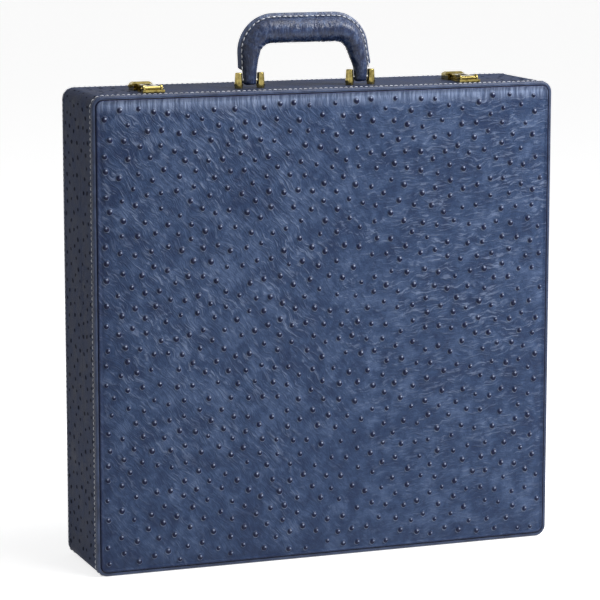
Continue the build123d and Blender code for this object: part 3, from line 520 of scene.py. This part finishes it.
def makePad(name, nodeName, facing, look):
    low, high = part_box(nodeName)
    seat, crest = (high.y, low.y) if facing < 0 else (low.y, high.y)
    depth = abs(crest - seat)
    edge, corner, step = look["edgeRound"], look["corner"], look["step"]
    # the rectangle that the corners' centres span
    left, right = low.x + corner, high.x - corner
    foot, top = low.z + corner, high.z - corner
    width, height = high.x - low.x - 2 * corner, high.z - low.z - 2 * corner
    points = []

    def surface(x, z, inset):
        rise = fade = 0.0
        if inset < edge:
            rise = math.sqrt(max(0.0, edge ** 2 - (edge - inset) ** 2)) - edge
        else:
            fade = min(1.0, (inset - edge) / look["creaseFade"])
        swell = -look["crown"] * math.exp(-max(0.0, inset - edge) / look["crownReach"])
        bend = creaseHeight(x, z, look) * fade
        return seat + facing * (depth + rise + swell * min(1.0, inset / edge) + bend)

    # rings from the seat over the rolled edge, with None for the one on the seat
    outer, _ = roundedOutline((low.x, low.z), (high.x, high.z), corner, step)
    insets = [corner * (1 - math.cos(math.pi / 2 * n / look["edgeRings"]))
              for n in range(look["edgeRings"] + 1)]
    rings = []
    for inset in [None] + insets:
        radius = max(corner - (inset or 0.0), 1e-9)
        ring = []
        for x, z in outer:
            cx, cz = clamp(x, left, right), clamp(z, foot, top)
            dx, dz = x - cx, z - cz
            length = math.hypot(dx, dz) or 1.0
            px, pz = cx + dx / length * radius, cz + dz / length * radius
            ring.append(len(points))
            points.append((px, seat if inset is None else surface(px, pz, inset), pz))
        rings.append(ring)
    faces = bridge(rings)
    # the flat middle, whose border points fall on the last ring
    countX, countZ = max(2, round(width / step)), max(2, round(height / step))
    grid = {}
    for i in range(countX + 1):
        for j in range(countZ + 1):
            x, z = left + width * i / countX, foot + height * j / countZ
            away = min(x - low.x, high.x - x, z - low.z, high.z - z)
            grid[i, j] = len(points)
            points.append((x, surface(x, z, away), z))
    for i in range(countX):
        for j in range(countZ):
            faces.append((grid[i, j], grid[i + 1, j], grid[i + 1, j + 1], grid[i, j + 1]))
    faces.append(tuple(rings[0]))
    pad = meshPiece(name, points, faces)
    pad.data.materials.append(finishes["frontLeather"])
    # painted shade: the leather is painted darker where it dives into the groove, and towards
    # the left and the foot, where the light falls off
    shadows = []
    for vertex in pad.data.vertices:
        x, _, z = vertex.co
        inset = corner - math.hypot(x - clamp(x, left, right), z - clamp(z, foot, top))
        groove = look["grooveShade"] * clamp(look["grooveFrom"] - inset / look["groove"])
        leftward = look["leftShade"] * math.exp((low.x - x) / look["leftReach"])
        downward = look["lowShade"] * math.exp((low.z - z) / look["lowReach"])
        shadows.append(max(groove, leftward + downward))
    keepShade(pad.data, shadows)
    return pad


frontPad = makePad("front_padding", "front_pad", -1, padLook)
backPad = makePad("back_padding", "back_pad", 1, dict(padLook, seed=41.0))
print("pads made:", len(frontPad.data.polygons), "faces each")


# Geometry Nodes: the quill bumps that stand on a skin, and the stitches along a seam

def startTree(name, inputs):
    tree = bpy.data.node_groups.new(name, "GeometryNodeTree")
    for label, kind in [("Geometry", "Geometry")] + inputs:
        tree.interface.new_socket(label, in_out="INPUT", socket_type="NodeSocket" + kind)
    tree.interface.new_socket("Geometry", in_out="OUTPUT",
                              socket_type="NodeSocketGeometry")
    return tree, tree.nodes.new("NodeGroupInput").outputs


def plant(tree, given, points, shape, settings):
    # a copy of the shape on each point, as real faces with the finish
    copied = addNode(tree, "GeometryNodeObjectInfo", {"Object": given[shape]})
    stand = addNode(tree, "GeometryNodeInstanceOnPoints",
                    {"Points": points, "Instance": copied.outputs["Geometry"], **settings})
    real = addNode(tree, "GeometryNodeRealizeInstances", {0: stand.outputs[0]})
    painted = addNode(tree, "GeometryNodeSetMaterial",
                      {"Geometry": real.outputs[0], "Material": given["Finish"]})
    tree.links.new(painted.outputs[0], tree.nodes.new("NodeGroupOutput").inputs[0])


def grow(name, source, tree, values):
    # the modifier's result, as a piece of its own with the finish in its one material slot
    modifier = source.modifiers.new(name, "NODES")
    modifier.node_group = tree
    for item in tree.interface.items_tree:
        if item.in_out == "INPUT" and item.name in values:
            modifier[item.identifier] = values[item.name]
    depsgraph = bpy.context.evaluated_depsgraph_get()
    mesh = bpy.data.meshes.new_from_object(source.evaluated_get(depsgraph))
    bpy.data.objects.remove(source)
    mesh.name = name
    mesh.materials.clear()
    mesh.materials.append(values["Finish"])
    mesh.polygons.foreach_set("material_index", [0] * len(mesh.polygons))
    return linkPiece(name, mesh)


densest, leanSeed = 40000.0, 11


def makeQuillTree():
    tree, given = startTree("quill bumps", [
        ("Bump", "Object"), ("Finish", "Material"), ("Spacing", "Float"),
        ("Smallest", "Float"), ("Largest", "Float"), ("Lean", "Float"), ("Seed", "Int")])
    scatter = addNode(tree, "GeometryNodeDistributePointsOnFaces",
                      {"Mesh": given["Geometry"], "Distance Min": given["Spacing"],
                       "Density Max": densest, "Seed": given["Seed"]},
                      distribute_method="POISSON")
    facing = addNode(tree, "FunctionNodeAlignRotationToVector",
                     {"Vector": scatter.outputs["Normal"]}, axis="Z")
    # sockets 2 and 3 are the least and the most of a random number
    size = addNode(tree, "FunctionNodeRandomValue",
                   {2: given["Smallest"], 3: given["Largest"], "Seed": given["Seed"]},
                   data_type="FLOAT")
    back = mathNode(tree, "MULTIPLY", given["Lean"], -1.0)
    turn = addNode(tree, "FunctionNodeRandomValue",
                   {2: back, 3: given["Lean"], "Seed": leanSeed}, data_type="FLOAT")
    spin = addNode(tree, "ShaderNodeCombineXYZ", {"Z": turn.outputs[1]})
    spun = addNode(tree, "FunctionNodeEulerToRotation", {0: spin.outputs[0]})
    placed = addNode(tree, "FunctionNodeRotateRotation",
                     {0: facing.outputs[0], 1: spun.outputs[0]}, rotation_space="LOCAL")
    plant(tree, given, scatter.outputs["Points"], "Bump",
          {"Rotation": placed.outputs[0], "Scale": size.outputs[1]})
    return tree


def makeStitchTree():
    tree, given = startTree("stitches", [
        ("Stitch", "Object"), ("Finish", "Material"), ("Pitch", "Float")])
    line = addNode(tree, "GeometryNodeMeshToCurve", {"Mesh": given["Geometry"]})
    steps = addNode(tree, "GeometryNodeCurveToPoints",
                    {"Curve": line.outputs[0], "Length": given["Pitch"]}, mode="LENGTH")
    along = addNode(tree, "FunctionNodeAlignRotationToVector",
                    {"Vector": steps.outputs["Tangent"]}, axis="X")
    outward = addNode(tree, "GeometryNodeInputNamedAttribute",
                      {"Name": "outward"}, data_type="FLOAT_VECTOR")
    facing = addNode(tree, "FunctionNodeAlignRotationToVector",
                     {"Rotation": along.outputs[0], "Vector": outward.outputs[0]},
                     axis="Z", pivot_axis="X")
    plant(tree, given, steps.outputs["Points"], "Stitch", {"Rotation": facing.outputs[0]})
    return tree


# one quill nub, in millimetres: a round knob that leans down, with rings of radius and height,
# dark, partly from the quill's darker dye and partly as painted shade, its upper part painted
# paler for the light that falls on it, with a painted glint at its upper right and a painted
# highlight on the lip under it
quillBump = {
    "rings": [(3.3, -0.12), (2.8, 0.10), (2.4, 0.45), (2.0, 0.95), (1.4, 1.38), (0.75, 1.62)],
    "sides": 12, "wide": 1.0, "tall": 1.15, "lean": -0.6, "top": 1.68, "dark": 0.98,
    "darkTo": 2.5, "glint": (0.6, 0.9, 0.92), "lip": 0.32,
    "darkEdge": 0.2, "litTop": (0.2, 1.8, 0.3), "under": (0.45, 0.9), "glintShine": (0.95, 0.7),
}
# a flat pit, drawn long, as on the sides of the case, its middle dark partly from dye and partly
# as painted shade
quillPit = dict(
    quillBump, rings=[(2.0, -0.05), (1.6, 0.16), (1.2, 0.09)], sides=8, wide=0.9, tall=1.3,
    lean=0.0, top=0.05, dark=1.0, darkTo=1.85, glint=(0, 9.0, 0.1), lip=0.0)


def makeBump(name, look):
    points, dark, glint = [], [], []
    sides, widest = look["sides"], look["rings"][0][0]
    spotX, spotY, spotSize = look["glint"]
    shine, falloff = look["glintShine"]
    litTopFrom, litTopReach, litTop = look["litTop"]
    underX, underY = look["under"]

    def addPoint(x, y, height, radius):
        # the knob is painted dark for its dye and its shade, paler on top where light falls,
        # with a painted glint and a painted highlight on the lower lip
        inside = clamp((look["darkTo"] - radius) / look["darkEdge"])
        high = clamp((y - litTopFrom) / litTopReach)
        away = math.hypot(x - spotX, y - spotY)
        under = max(0.0, -(underX * x + underY * y) / max(radius, 0.1)) * (1 - inside)
        dark.append(look["dark"] * inside * (1 - litTop * high))
        glint.append(max(shine * max(0.0, 1 - away / spotSize) ** falloff,
                         look["lip"] * under ** 2))
        points.append((x * millimetre, y * millimetre, height * millimetre))

    for radius, height in look["rings"]:
        shift = look["lean"] * (1 - radius / widest)
        for n in range(sides):
            turn = 2 * math.pi * n / sides
            addPoint(radius * math.cos(turn) * look["wide"],
                     radius * math.sin(turn) * look["tall"] + shift, height, radius)
    rings = ringNumbers(len(look["rings"]), sides)
    faces = bridge(rings)
    tip, last = len(points), rings[-1]
    addPoint(0.0, look["lean"], look["top"], 0.0)
    for n in range(sides):
        faces.append((last[n], last[(n + 1) % sides], tip))
    mesh = plainMesh(name, points, faces)
    shadeSmooth(mesh)
    keepShade(mesh, dark)
    keepShade(mesh, glint, "worn")
    return linkPiece(name, mesh)


# one stitch, in millimetres, and the needle hole behind it: a shallow dish painted dark as the
# shade in the hole
stitchLook = {"length": 3.9, "width": 0.58, "arch": 0.46, "archPower": 0.6, "sink": -0.25,
              "ends": 0.55, "flat": 0.8, "sides": 6, "steps": 6, "hole": 0.62,
              "holeAway": 1.2, "holeRings": ((1.0, 0.02), (0.5, 0.06))}


def makeStitch(name, look):
    points, shade = [], []
    sides = look["sides"]
    turns = [2 * math.pi * n / sides for n in range(sides)]
    for step in range(look["steps"] + 1):
        share = step / look["steps"]
        x = (share - 0.5) * look["length"]
        bow = math.sin(math.pi * share)
        lift = look["sink"] + (look["arch"] - look["sink"]) * bow ** look["archPower"]
        girth = look["width"] * (look["ends"] + (1 - look["ends"]) * bow)
        for turn in turns:
            points.append((x, girth * math.cos(turn),
                           lift + girth * look["flat"] * math.sin(turn)))
            shade.append(0.0)
    thread = ringNumbers(look["steps"] + 1, sides)
    middle = look["length"] / 2 + look["hole"] * look["holeAway"]
    dish = ringNumbers(len(look["holeRings"]), sides, len(points))
    for part, height in look["holeRings"]:
        radius = look["hole"] * part
        for turn in turns:
            points.append((middle + radius * math.cos(turn), radius * math.sin(turn), height))
            shade.append(1.0)
    faces = [(a, d, c, b) for a, b, c, d in bridge(thread)]
    faces += [tuple(thread[0]), tuple(reversed(thread[-1]))]
    faces += bridge(dish) + [tuple(dish[-1])]
    mesh = plainMesh(name, [tuple(c * millimetre for c in p) for p in points], faces)
    shadeSmooth(mesh)
    keepShade(mesh, shade)
    return linkPiece(name, mesh)


def seamLine(points, outward, closed=True):
    count = len(points)
    mesh = bpy.data.meshes.new("seam")
    edges = [(n, (n + 1) % count) for n in range(count if closed else count - 1)]
    mesh.from_pydata(points, edges, [])
    attribute = mesh.attributes.new("outward", "FLOAT_VECTOR", "POINT")
    attribute.data.foreach_set("vector", [c for v in outward for c in v])
    return linkPiece("seam", mesh)


quillTree = makeQuillTree()
stitchTree = makeStitchTree()
bumpShape = makeBump("bump_shape", quillBump)
pitShape = makeBump("pit_shape", quillPit)
stitchShape = makeStitch("stitch_shape", stitchLook)

caseLook = {
    "corner": 11.0 * millimetre, "seamFromRim": 5.0 * millimetre,
    "stitchPitch": 5.3 * millimetre, "stitchStep": 2.5 * millimetre,
    "parting": -10.0 * millimetre,
}
quillLook = {
    "spacing": 14.0 * millimetre, "sizes": (0.85, 1.2), "margin": 7.0 * millimetre,
    "lean": 0.6, "steepest": 0.5, "frontSeed": 5, "backSeed": 8,
}
sideLook = {
    "spacing": 11.5 * millimetre, "sizes": (0.9, 1.4), "step": 4 * millimetre,
    "fromRim": 10 * millimetre, "fromParting": 4 * millimetre, "foot": 12 * millimetre,
    "top": 460 * millimetre, "fittings": 190 * millimetre,
}


def quillsOn(name, field, look, seed, finish, shape):
    smallest, largest = look["sizes"]
    return grow(name, field, quillTree, {
        "Bump": shape, "Finish": finish, "Spacing": look["spacing"], "Smallest": smallest,
        "Largest": largest, "Lean": quillLook["lean"], "Seed": seed})


def padField(pad, facing, look):
    # the crowned face of a pad, less a bare margin
    work = bmesh.new()
    work.from_mesh(pad.data)
    low, high = (Vector(pick(v.co[i] for v in work.verts) for i in range(3))
                 for pick in (min, max))
    gone = []
    for face in work.faces:
        c = face.calc_center_median()
        near = min(c.x - low.x, high.x - c.x, c.z - low.z, high.z - c.z)
        if near < look["margin"] or face.normal.y * facing < look["steepest"]:
            gone.append(face)
    bmesh.ops.delete(work, geom=gone, context="FACES")
    mesh = bpy.data.meshes.new("field")
    work.to_mesh(mesh)
    work.free()
    return linkPiece("field", mesh)


for pad, facing, body, node, seed in (
        (frontPad, -1, "lid", "front_pad", quillLook["frontSeed"]),
        (backPad, 1, "body", "back_pad", quillLook["backSeed"])):
    quills = quillsOn(pad.name + "_quills", padField(pad, facing, quillLook), quillLook,
                      seed, finishes["frontLeather"], bumpShape)
    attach(pad, body)
    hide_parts(node)
    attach(quills, body)
    print("quills on", pad.name, len(quills.data.vertices))


# the running stitch behind each rim

rimLow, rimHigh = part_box("front_rim")
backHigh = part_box("back_rim")[1]


def caseOutline(step):
    return roundedOutline((rimLow.x, rimLow.z), (rimHigh.x, rimHigh.z),
                          caseLook["corner"], step)


def sewn(name, line, pitch):
    return grow(name, line, stitchTree, {
        "Stitch": stitchShape, "Finish": finishes["thread"], "Pitch": pitch})


for name, y, body in (
        ("front_stitches", rimLow.y + caseLook["seamFromRim"], "lid"),
        ("back_stitches", backHigh.y - caseLook["seamFromRim"], "body")):
    flat, facing = caseOutline(caseLook["stitchStep"])
    line = seamLine([(x, y, z) for x, z in flat], [(x, 0, z) for x, z in facing])
    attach(sewn(name, line, caseLook["stitchPitch"]), body)


# sparse flat quills on the sides and at the ends of the top, clear of the fittings

def sideField(yLow, yHigh, look):
    flat, _ = caseOutline(look["step"])
    points = [(x, y, z) for x, z in flat for y in (yLow, yHigh)]
    faces = []
    count = len(flat)
    for n in range(count):
        m = (n + 1) % count
        x, z = ((flat[n][i] + flat[m][i]) / 2 for i in (0, 1))
        if z >= look["foot"] and (z <= look["top"] or abs(x) >= look["fittings"]):
            faces.append((2 * n + 1, 2 * m + 1, 2 * m, 2 * n))
    mesh = plainMesh("field", points, faces)
    mesh.update()
    leftmost = min(mesh.polygons, key=lambda polygon: polygon.center.x)
    if leftmost.normal.x > 0:
        mesh.flip_normals()
    return linkPiece("field", mesh)


for name, yLow, yHigh, body, seed in (
        ("lid_side_quills", rimLow.y + sideLook["fromRim"],
         caseLook["parting"] - sideLook["fromParting"], "lid", 3),
        ("body_side_quills", caseLook["parting"] + sideLook["fromParting"],
         backHigh.y - sideLook["fromRim"], "body", 4)):
    quills = quillsOn(name, sideField(yLow, yHigh, sideLook), sideLook, seed,
                      finishes["sideLeather"], pitShape)
    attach(quills, body)


# the handle: a stuffed roll that swells from its feet, sewn into a seam along the outside

# in millimetres
handleLook = {
    "middle": -12.0, "depth": -19.0, "foot": 58.0, "lean": 6.6, "sway": -4.0, "upright": 16.0,
    "low": 471.2, "high": 523.7, "bend": 23.0, "bendSteps": 40, "step": 0.9, "around": 44,
    "grip": 24.8, "footWide": 13.2, "footThick": 12.0, "swellShare": 0.36,
    "capReach": 2.5, "capFoot": 0.55, "seam": 4.4, "seamThick": 3.0, "seamStart": 14.0,
    "seamReach": 2.5, "seamStations": (0.35, 0.55, 0.75, 0.9), "seamWorn": 0.12,
    "wornReach": 1.2, "edgeSteps": 3, "edgeFlat": 0.25, "edgeRound": 0.6, "cove": 1.4,
    "wrinkle": 0.26, "fineFold": (0.55, 0.12, 0.08), "broadFold": (0.12, 0.2, 0.2),
    "broadShare": 0.8, "straightShare": 0.35, "bendShare": 1.5,
    "broadSeed": 5, "seamBlend": 0.5, "seamBlendReach": 1.5,
    "bendFrom": (22, 12), "bendTo": (78, 16), "stitchIn": 3.5, "stitchLift": 0.1,
    "stitchFrom": 2, "stitchPitch": 5.6 * millimetre,
}


def handleLine(look):
    # evenly spaced points up one foot and leg, over the top and down the other
    foot, shoulder = look["foot"], look["foot"] - look["lean"]
    knee = look["low"] + look["upright"]
    corners = [(-foot, look["low"]), (-foot, knee), (look["sway"] - shoulder, look["high"]),
               (look["sway"] + shoulder, look["high"]), (foot, knee), (foot, look["low"])]
    dense = [corners[0]]
    for before, corner, after in zip(corners, corners[1:], corners[2:]):
        a = Vector((before[0] - corner[0], before[1] - corner[1])).normalized()
        b = Vector((after[0] - corner[0], after[1] - corner[1])).normalized()
        half = a.angle(b) / 2
        reach = look["bend"] / math.tan(half)
        middle = Vector(corner) + (a + b).normalized() * look["bend"] / math.sin(half)
        start, end = Vector(corner) + a * reach, Vector(corner) + b * reach
        first = math.atan2(start.y - middle.y, start.x - middle.x)
        sweep = math.atan2(end.y - middle.y, end.x - middle.x) - first
        sweep = (sweep + math.pi) % (2 * math.pi) - math.pi
        for n in range(look["bendSteps"] + 1):
            turn = first + sweep * n / look["bendSteps"]
            dense.append((middle.x + look["bend"] * math.cos(turn),
                          middle.y + look["bend"] * math.sin(turn)))
    dense.append(corners[-1])
    dense = np.array(dense)
    gaps = np.hypot(*np.diff(dense, axis=0).T)
    distance = np.concatenate([[0], np.cumsum(gaps)])
    count = round(distance[-1] / look["step"])
    even = np.linspace(0, distance[-1], count + 1)
    x = np.interp(even, distance, dense[:, 0])
    z = np.interp(even, distance, dense[:, 1])
    along = np.stack([np.gradient(x), np.gradient(z)], axis=1)
    along /= np.hypot(along[:, 0], along[:, 1])[:, None]
    return even, x + look["middle"], z, along


def halfGirth(fromEnd, total, foot, look):
    share = smooth(fromEnd / total / look["swellShare"])
    return (foot + (look["grip"] - foot) * share) / 2


def rollSection(halfWide, halfThick, seam, look):
    # half an outline (outward, across), from the seam's edge round to the inside
    edge, tip, cove = look["seamThick"] / 2, halfWide + seam, look["cove"]
    half = []
    for n in range(look["edgeSteps"] + 1):
        turn = math.pi / 2 * n / look["edgeSteps"]
        half.append((tip - edge * look["edgeRound"] * (1 - math.sin(turn)),
                     edge * (look["edgeFlat"] + look["edgeRound"] * (1 - math.cos(turn)))))
    stations = [tip - seam * s for s in look["seamStations"]] if seam > 0 else []
    stations += [halfWide * math.cos(math.pi * n / look["around"])
                 for n in range(1, look["around"])]
    for u in stations:
        ellipse = halfThick * math.sqrt(max(0.0, 1 - (u / halfWide) ** 2))
        if u > 0:
            # the roll runs into the seam with a small hollow
            blend = max(0.0, cove - abs(ellipse - edge)) / cove
            half.append((u, max(ellipse, edge) + blend * blend * cove / 4))
        else:
            half.append((u, ellipse))
    half.append((-halfWide, 0.0))
    return half


def makeHandle(look):
    distance, xs, zs, along = handleLine(look)
    total = distance[-1]
    points, rings, worn = [], [], []
    # every ring has the feet's number of points, so the seam's front slopes off to its edge
    count = 2 * (look["edgeSteps"] + 1 + look["around"]) - 1
    bendStart, bendRise = look["bendFrom"]
    bendEnd, bendFall = look["bendTo"]

    def folds(s, u, v, scale, shift=0):
        return noise.noise(Vector((s * scale[0], v * scale[1], u * scale[2] + shift)))

    for s, x, z, (tx, tz) in zip(distance, xs, zs, along):
        fromEnd = min(s, total - s)
        halfWide = halfGirth(fromEnd, total, look["footWide"], look)
        halfThick = halfGirth(fromEnd, total, look["footThick"], look)
        seam = look["seam"] * smooth((fromEnd - look["seamStart"]) / look["seamReach"])
        capped = 1.0
        if fromEnd < look["capReach"]:
            bulge = math.sqrt(max(0.0, 1 - (1 - fromEnd / look["capReach"]) ** 2))
            capped = look["capFoot"] + (1 - look["capFoot"]) * bulge
        half = rollSection(halfWide, halfThick, seam, look)
        ring = []
        bent = smooth((fromEnd - bendStart) / bendRise) \
            * (1 - smooth((fromEnd - bendEnd) / bendFall))
        outline = half + [(u, -v) for u, v in reversed(half[:-1])]
        for u, v in outline[:count]:
            fine = folds(s, u, v, look["fineFold"])
            broad = folds(s, u, v, look["broadFold"], look["broadSeed"])
            onSeam = smooth((u - halfWide + look["seamBlend"]) / look["seamBlendReach"])
            rub = look["wrinkle"] * (1 - onSeam) * (
                fine * (look["straightShare"] + look["bendShare"] * bent)
                + look["broadShare"] * broad)
            swollen = (1 + rub / max(halfThick, 1.0)) * capped
            ring.append(len(points))
            points.append(tuple(c * millimetre for c in (
                x - tz * u * swollen, look["depth"] + v * swollen, z + tx * u * swollen)))
            atEdge = abs(u - halfWide - seam) < look["wornReach"]
            worn.append(look["seamWorn"] * onSeam if atEdge else 0.0)
        rings.append(ring)
    faces = bridge(rings) + [tuple(reversed(rings[0])), tuple(rings[-1])]
    mesh = plainMesh("handle_roll", points, faces)
    keepShade(mesh, worn, "worn")
    settle(mesh)
    shadeSmooth(mesh)
    mesh.materials.append(finishes["rollLeather"])
    return linkPiece("handle_roll", mesh)


def sewHandle(name, side, look):
    # one running stitch, on the seam's front or back
    distance, xs, zs, along = handleLine(look)
    total = distance[-1]
    v = look["depth"] + side * (look["seamThick"] / 2 + look["stitchLift"])
    points = []
    for s, x, z, (tx, tz) in zip(distance, xs, zs, along):
        fromEnd = min(s, total - s)
        if fromEnd >= look["seamStart"] + look["stitchFrom"]:
            halfWide = halfGirth(fromEnd, total, look["footWide"], look)
            u = halfWide + look["seam"] - look["stitchIn"]
            points.append(tuple(c * millimetre for c in (x - tz * u, v, z + tx * u)))
    line = seamLine(points, [(0, side, 0)] * len(points), closed=False)
    return sewn(name, line, look["stitchPitch"])


handleRoll = makeHandle(handleLook)
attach(handleRoll, "handle")
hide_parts("handle_grip")
for name, side in (("handle_stitches_front", -1), ("handle_stitches_back", 1)):
    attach(sewHandle(name, side, handleLook), "handle")
for shape in (bumpShape, pitShape, stitchShape):
    bpy.data.objects.remove(shape)
print("handle made:", len(handleRoll.data.polygons))


# each latch's leaf spring, which its button presses against the wall of the housing

springLook = {"travel": 1.8 * millimetre, "wall": {"left": -0.165, "right": 0.147}}

for side, wall in springLook["wall"].items():
    nodeName = "latch_spring_" + side
    spring = linkPiece("leaf_spring_" + side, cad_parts[nodeName].data.copy())
    spring.data.materials.clear()
    spring.data.materials.append(finishes["steel"])
    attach(spring, "body")
    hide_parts(nodeName)
    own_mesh(spring)
print("springs made")


# the studio: pale floor, soft lamps, the photograph's camera

studio = {
    "key": {"place": (1.15, -0.85, 1.35), "size": 0.7, "power": 34.0},
    "top": {"place": (0.3, -0.5, 2.0), "size": 0.8, "power": 15.0},
    "fill": {"place": (-2.6, -1.6, 1.0), "size": 2.0, "power": 2.0},
}
aimPoint = Vector((0, 0, 0.25))
backdropLook = {"worldLight": 0.14, "floorLift": 0.80, "floorSize": 20.0, "floorDrop": 0.6}


def addLamp(name, place, size, power):
    lamp = bpy.data.lights.new(name, "AREA")
    lamp.shape, lamp.size, lamp.energy = "SQUARE", size, power
    holder = linkPiece(name, lamp)
    holder.location = place
    holder.rotation_euler = (aimPoint - Vector(place)).to_track_quat("-Z", "Y").to_euler()


for lampName, lampLook in studio.items():
    addLamp(lampName, **lampLook)


def seenDirectly(tree):
    # one for camera, mirror and glass rays, which see the plain background
    path = tree.nodes.new("ShaderNodeLightPath").outputs
    direct = mathNode(tree, "ADD", path["Is Camera Ray"], path["Is Glossy Ray"])
    return mathNode(tree, "ADD", direct, path["Is Transmission Ray"], clamped=True)


world = bpy.data.worlds.new("studio")
bpy.context.scene.world = world
world.use_nodes = True
worldTree = world.node_tree
backdrop = worldTree.nodes["Background"]
backdrop.inputs["Color"].default_value = colour(1.0, 1.0, 1.0)
strength = mapRange(worldTree, seenDirectly(worldTree), 0, 1, backdropLook["worldLight"])
worldTree.links.new(strength, backdrop.inputs["Strength"])

floorMaterial, floorTree, floorShader, _ = startMaterial(
    "pale_floor", Base_Color=colour(0.86, 0.86, 0.86), Roughness=0.9,
    Specular_IOR_Level=0.1, Emission_Color=colour(1, 1, 1))
lift = mathNode(floorTree, "MULTIPLY", seenDirectly(floorTree), backdropLook["floorLift"])
floorTree.links.new(lift, floorShader.inputs["Emission Strength"])
reach, drop = backdropLook["floorSize"], backdropLook["floorDrop"] * millimetre
floor = meshPiece("floor", [(x * reach, y * reach, -drop)
                            for x, y in ((-1, -1), (1, -1), (1, 1), (-1, 1))],
                  [(0, 1, 2, 3)], smoothed=False)
floor.data.materials.append(floorMaterial)

view = {"place": (-0.9866, -2.6068, 0.7173), "yaw": 20.53, "pitch": 9.49,
        "sensor": 36.0, "lens": 169.06}
cameraData = bpy.data.cameras.new("camera")
cameraData.sensor_width = view["sensor"]
cameraData.lens = view["lens"]
camera = linkPiece("camera", cameraData)
camera.location = view["place"]
camera.rotation_euler = (math.radians(90 - view["pitch"]), 0.0, math.radians(-view["yaw"]))
bpy.context.scene.camera = camera
bpy.context.scene.view_settings.view_transform = "Standard"

print("scene ready")
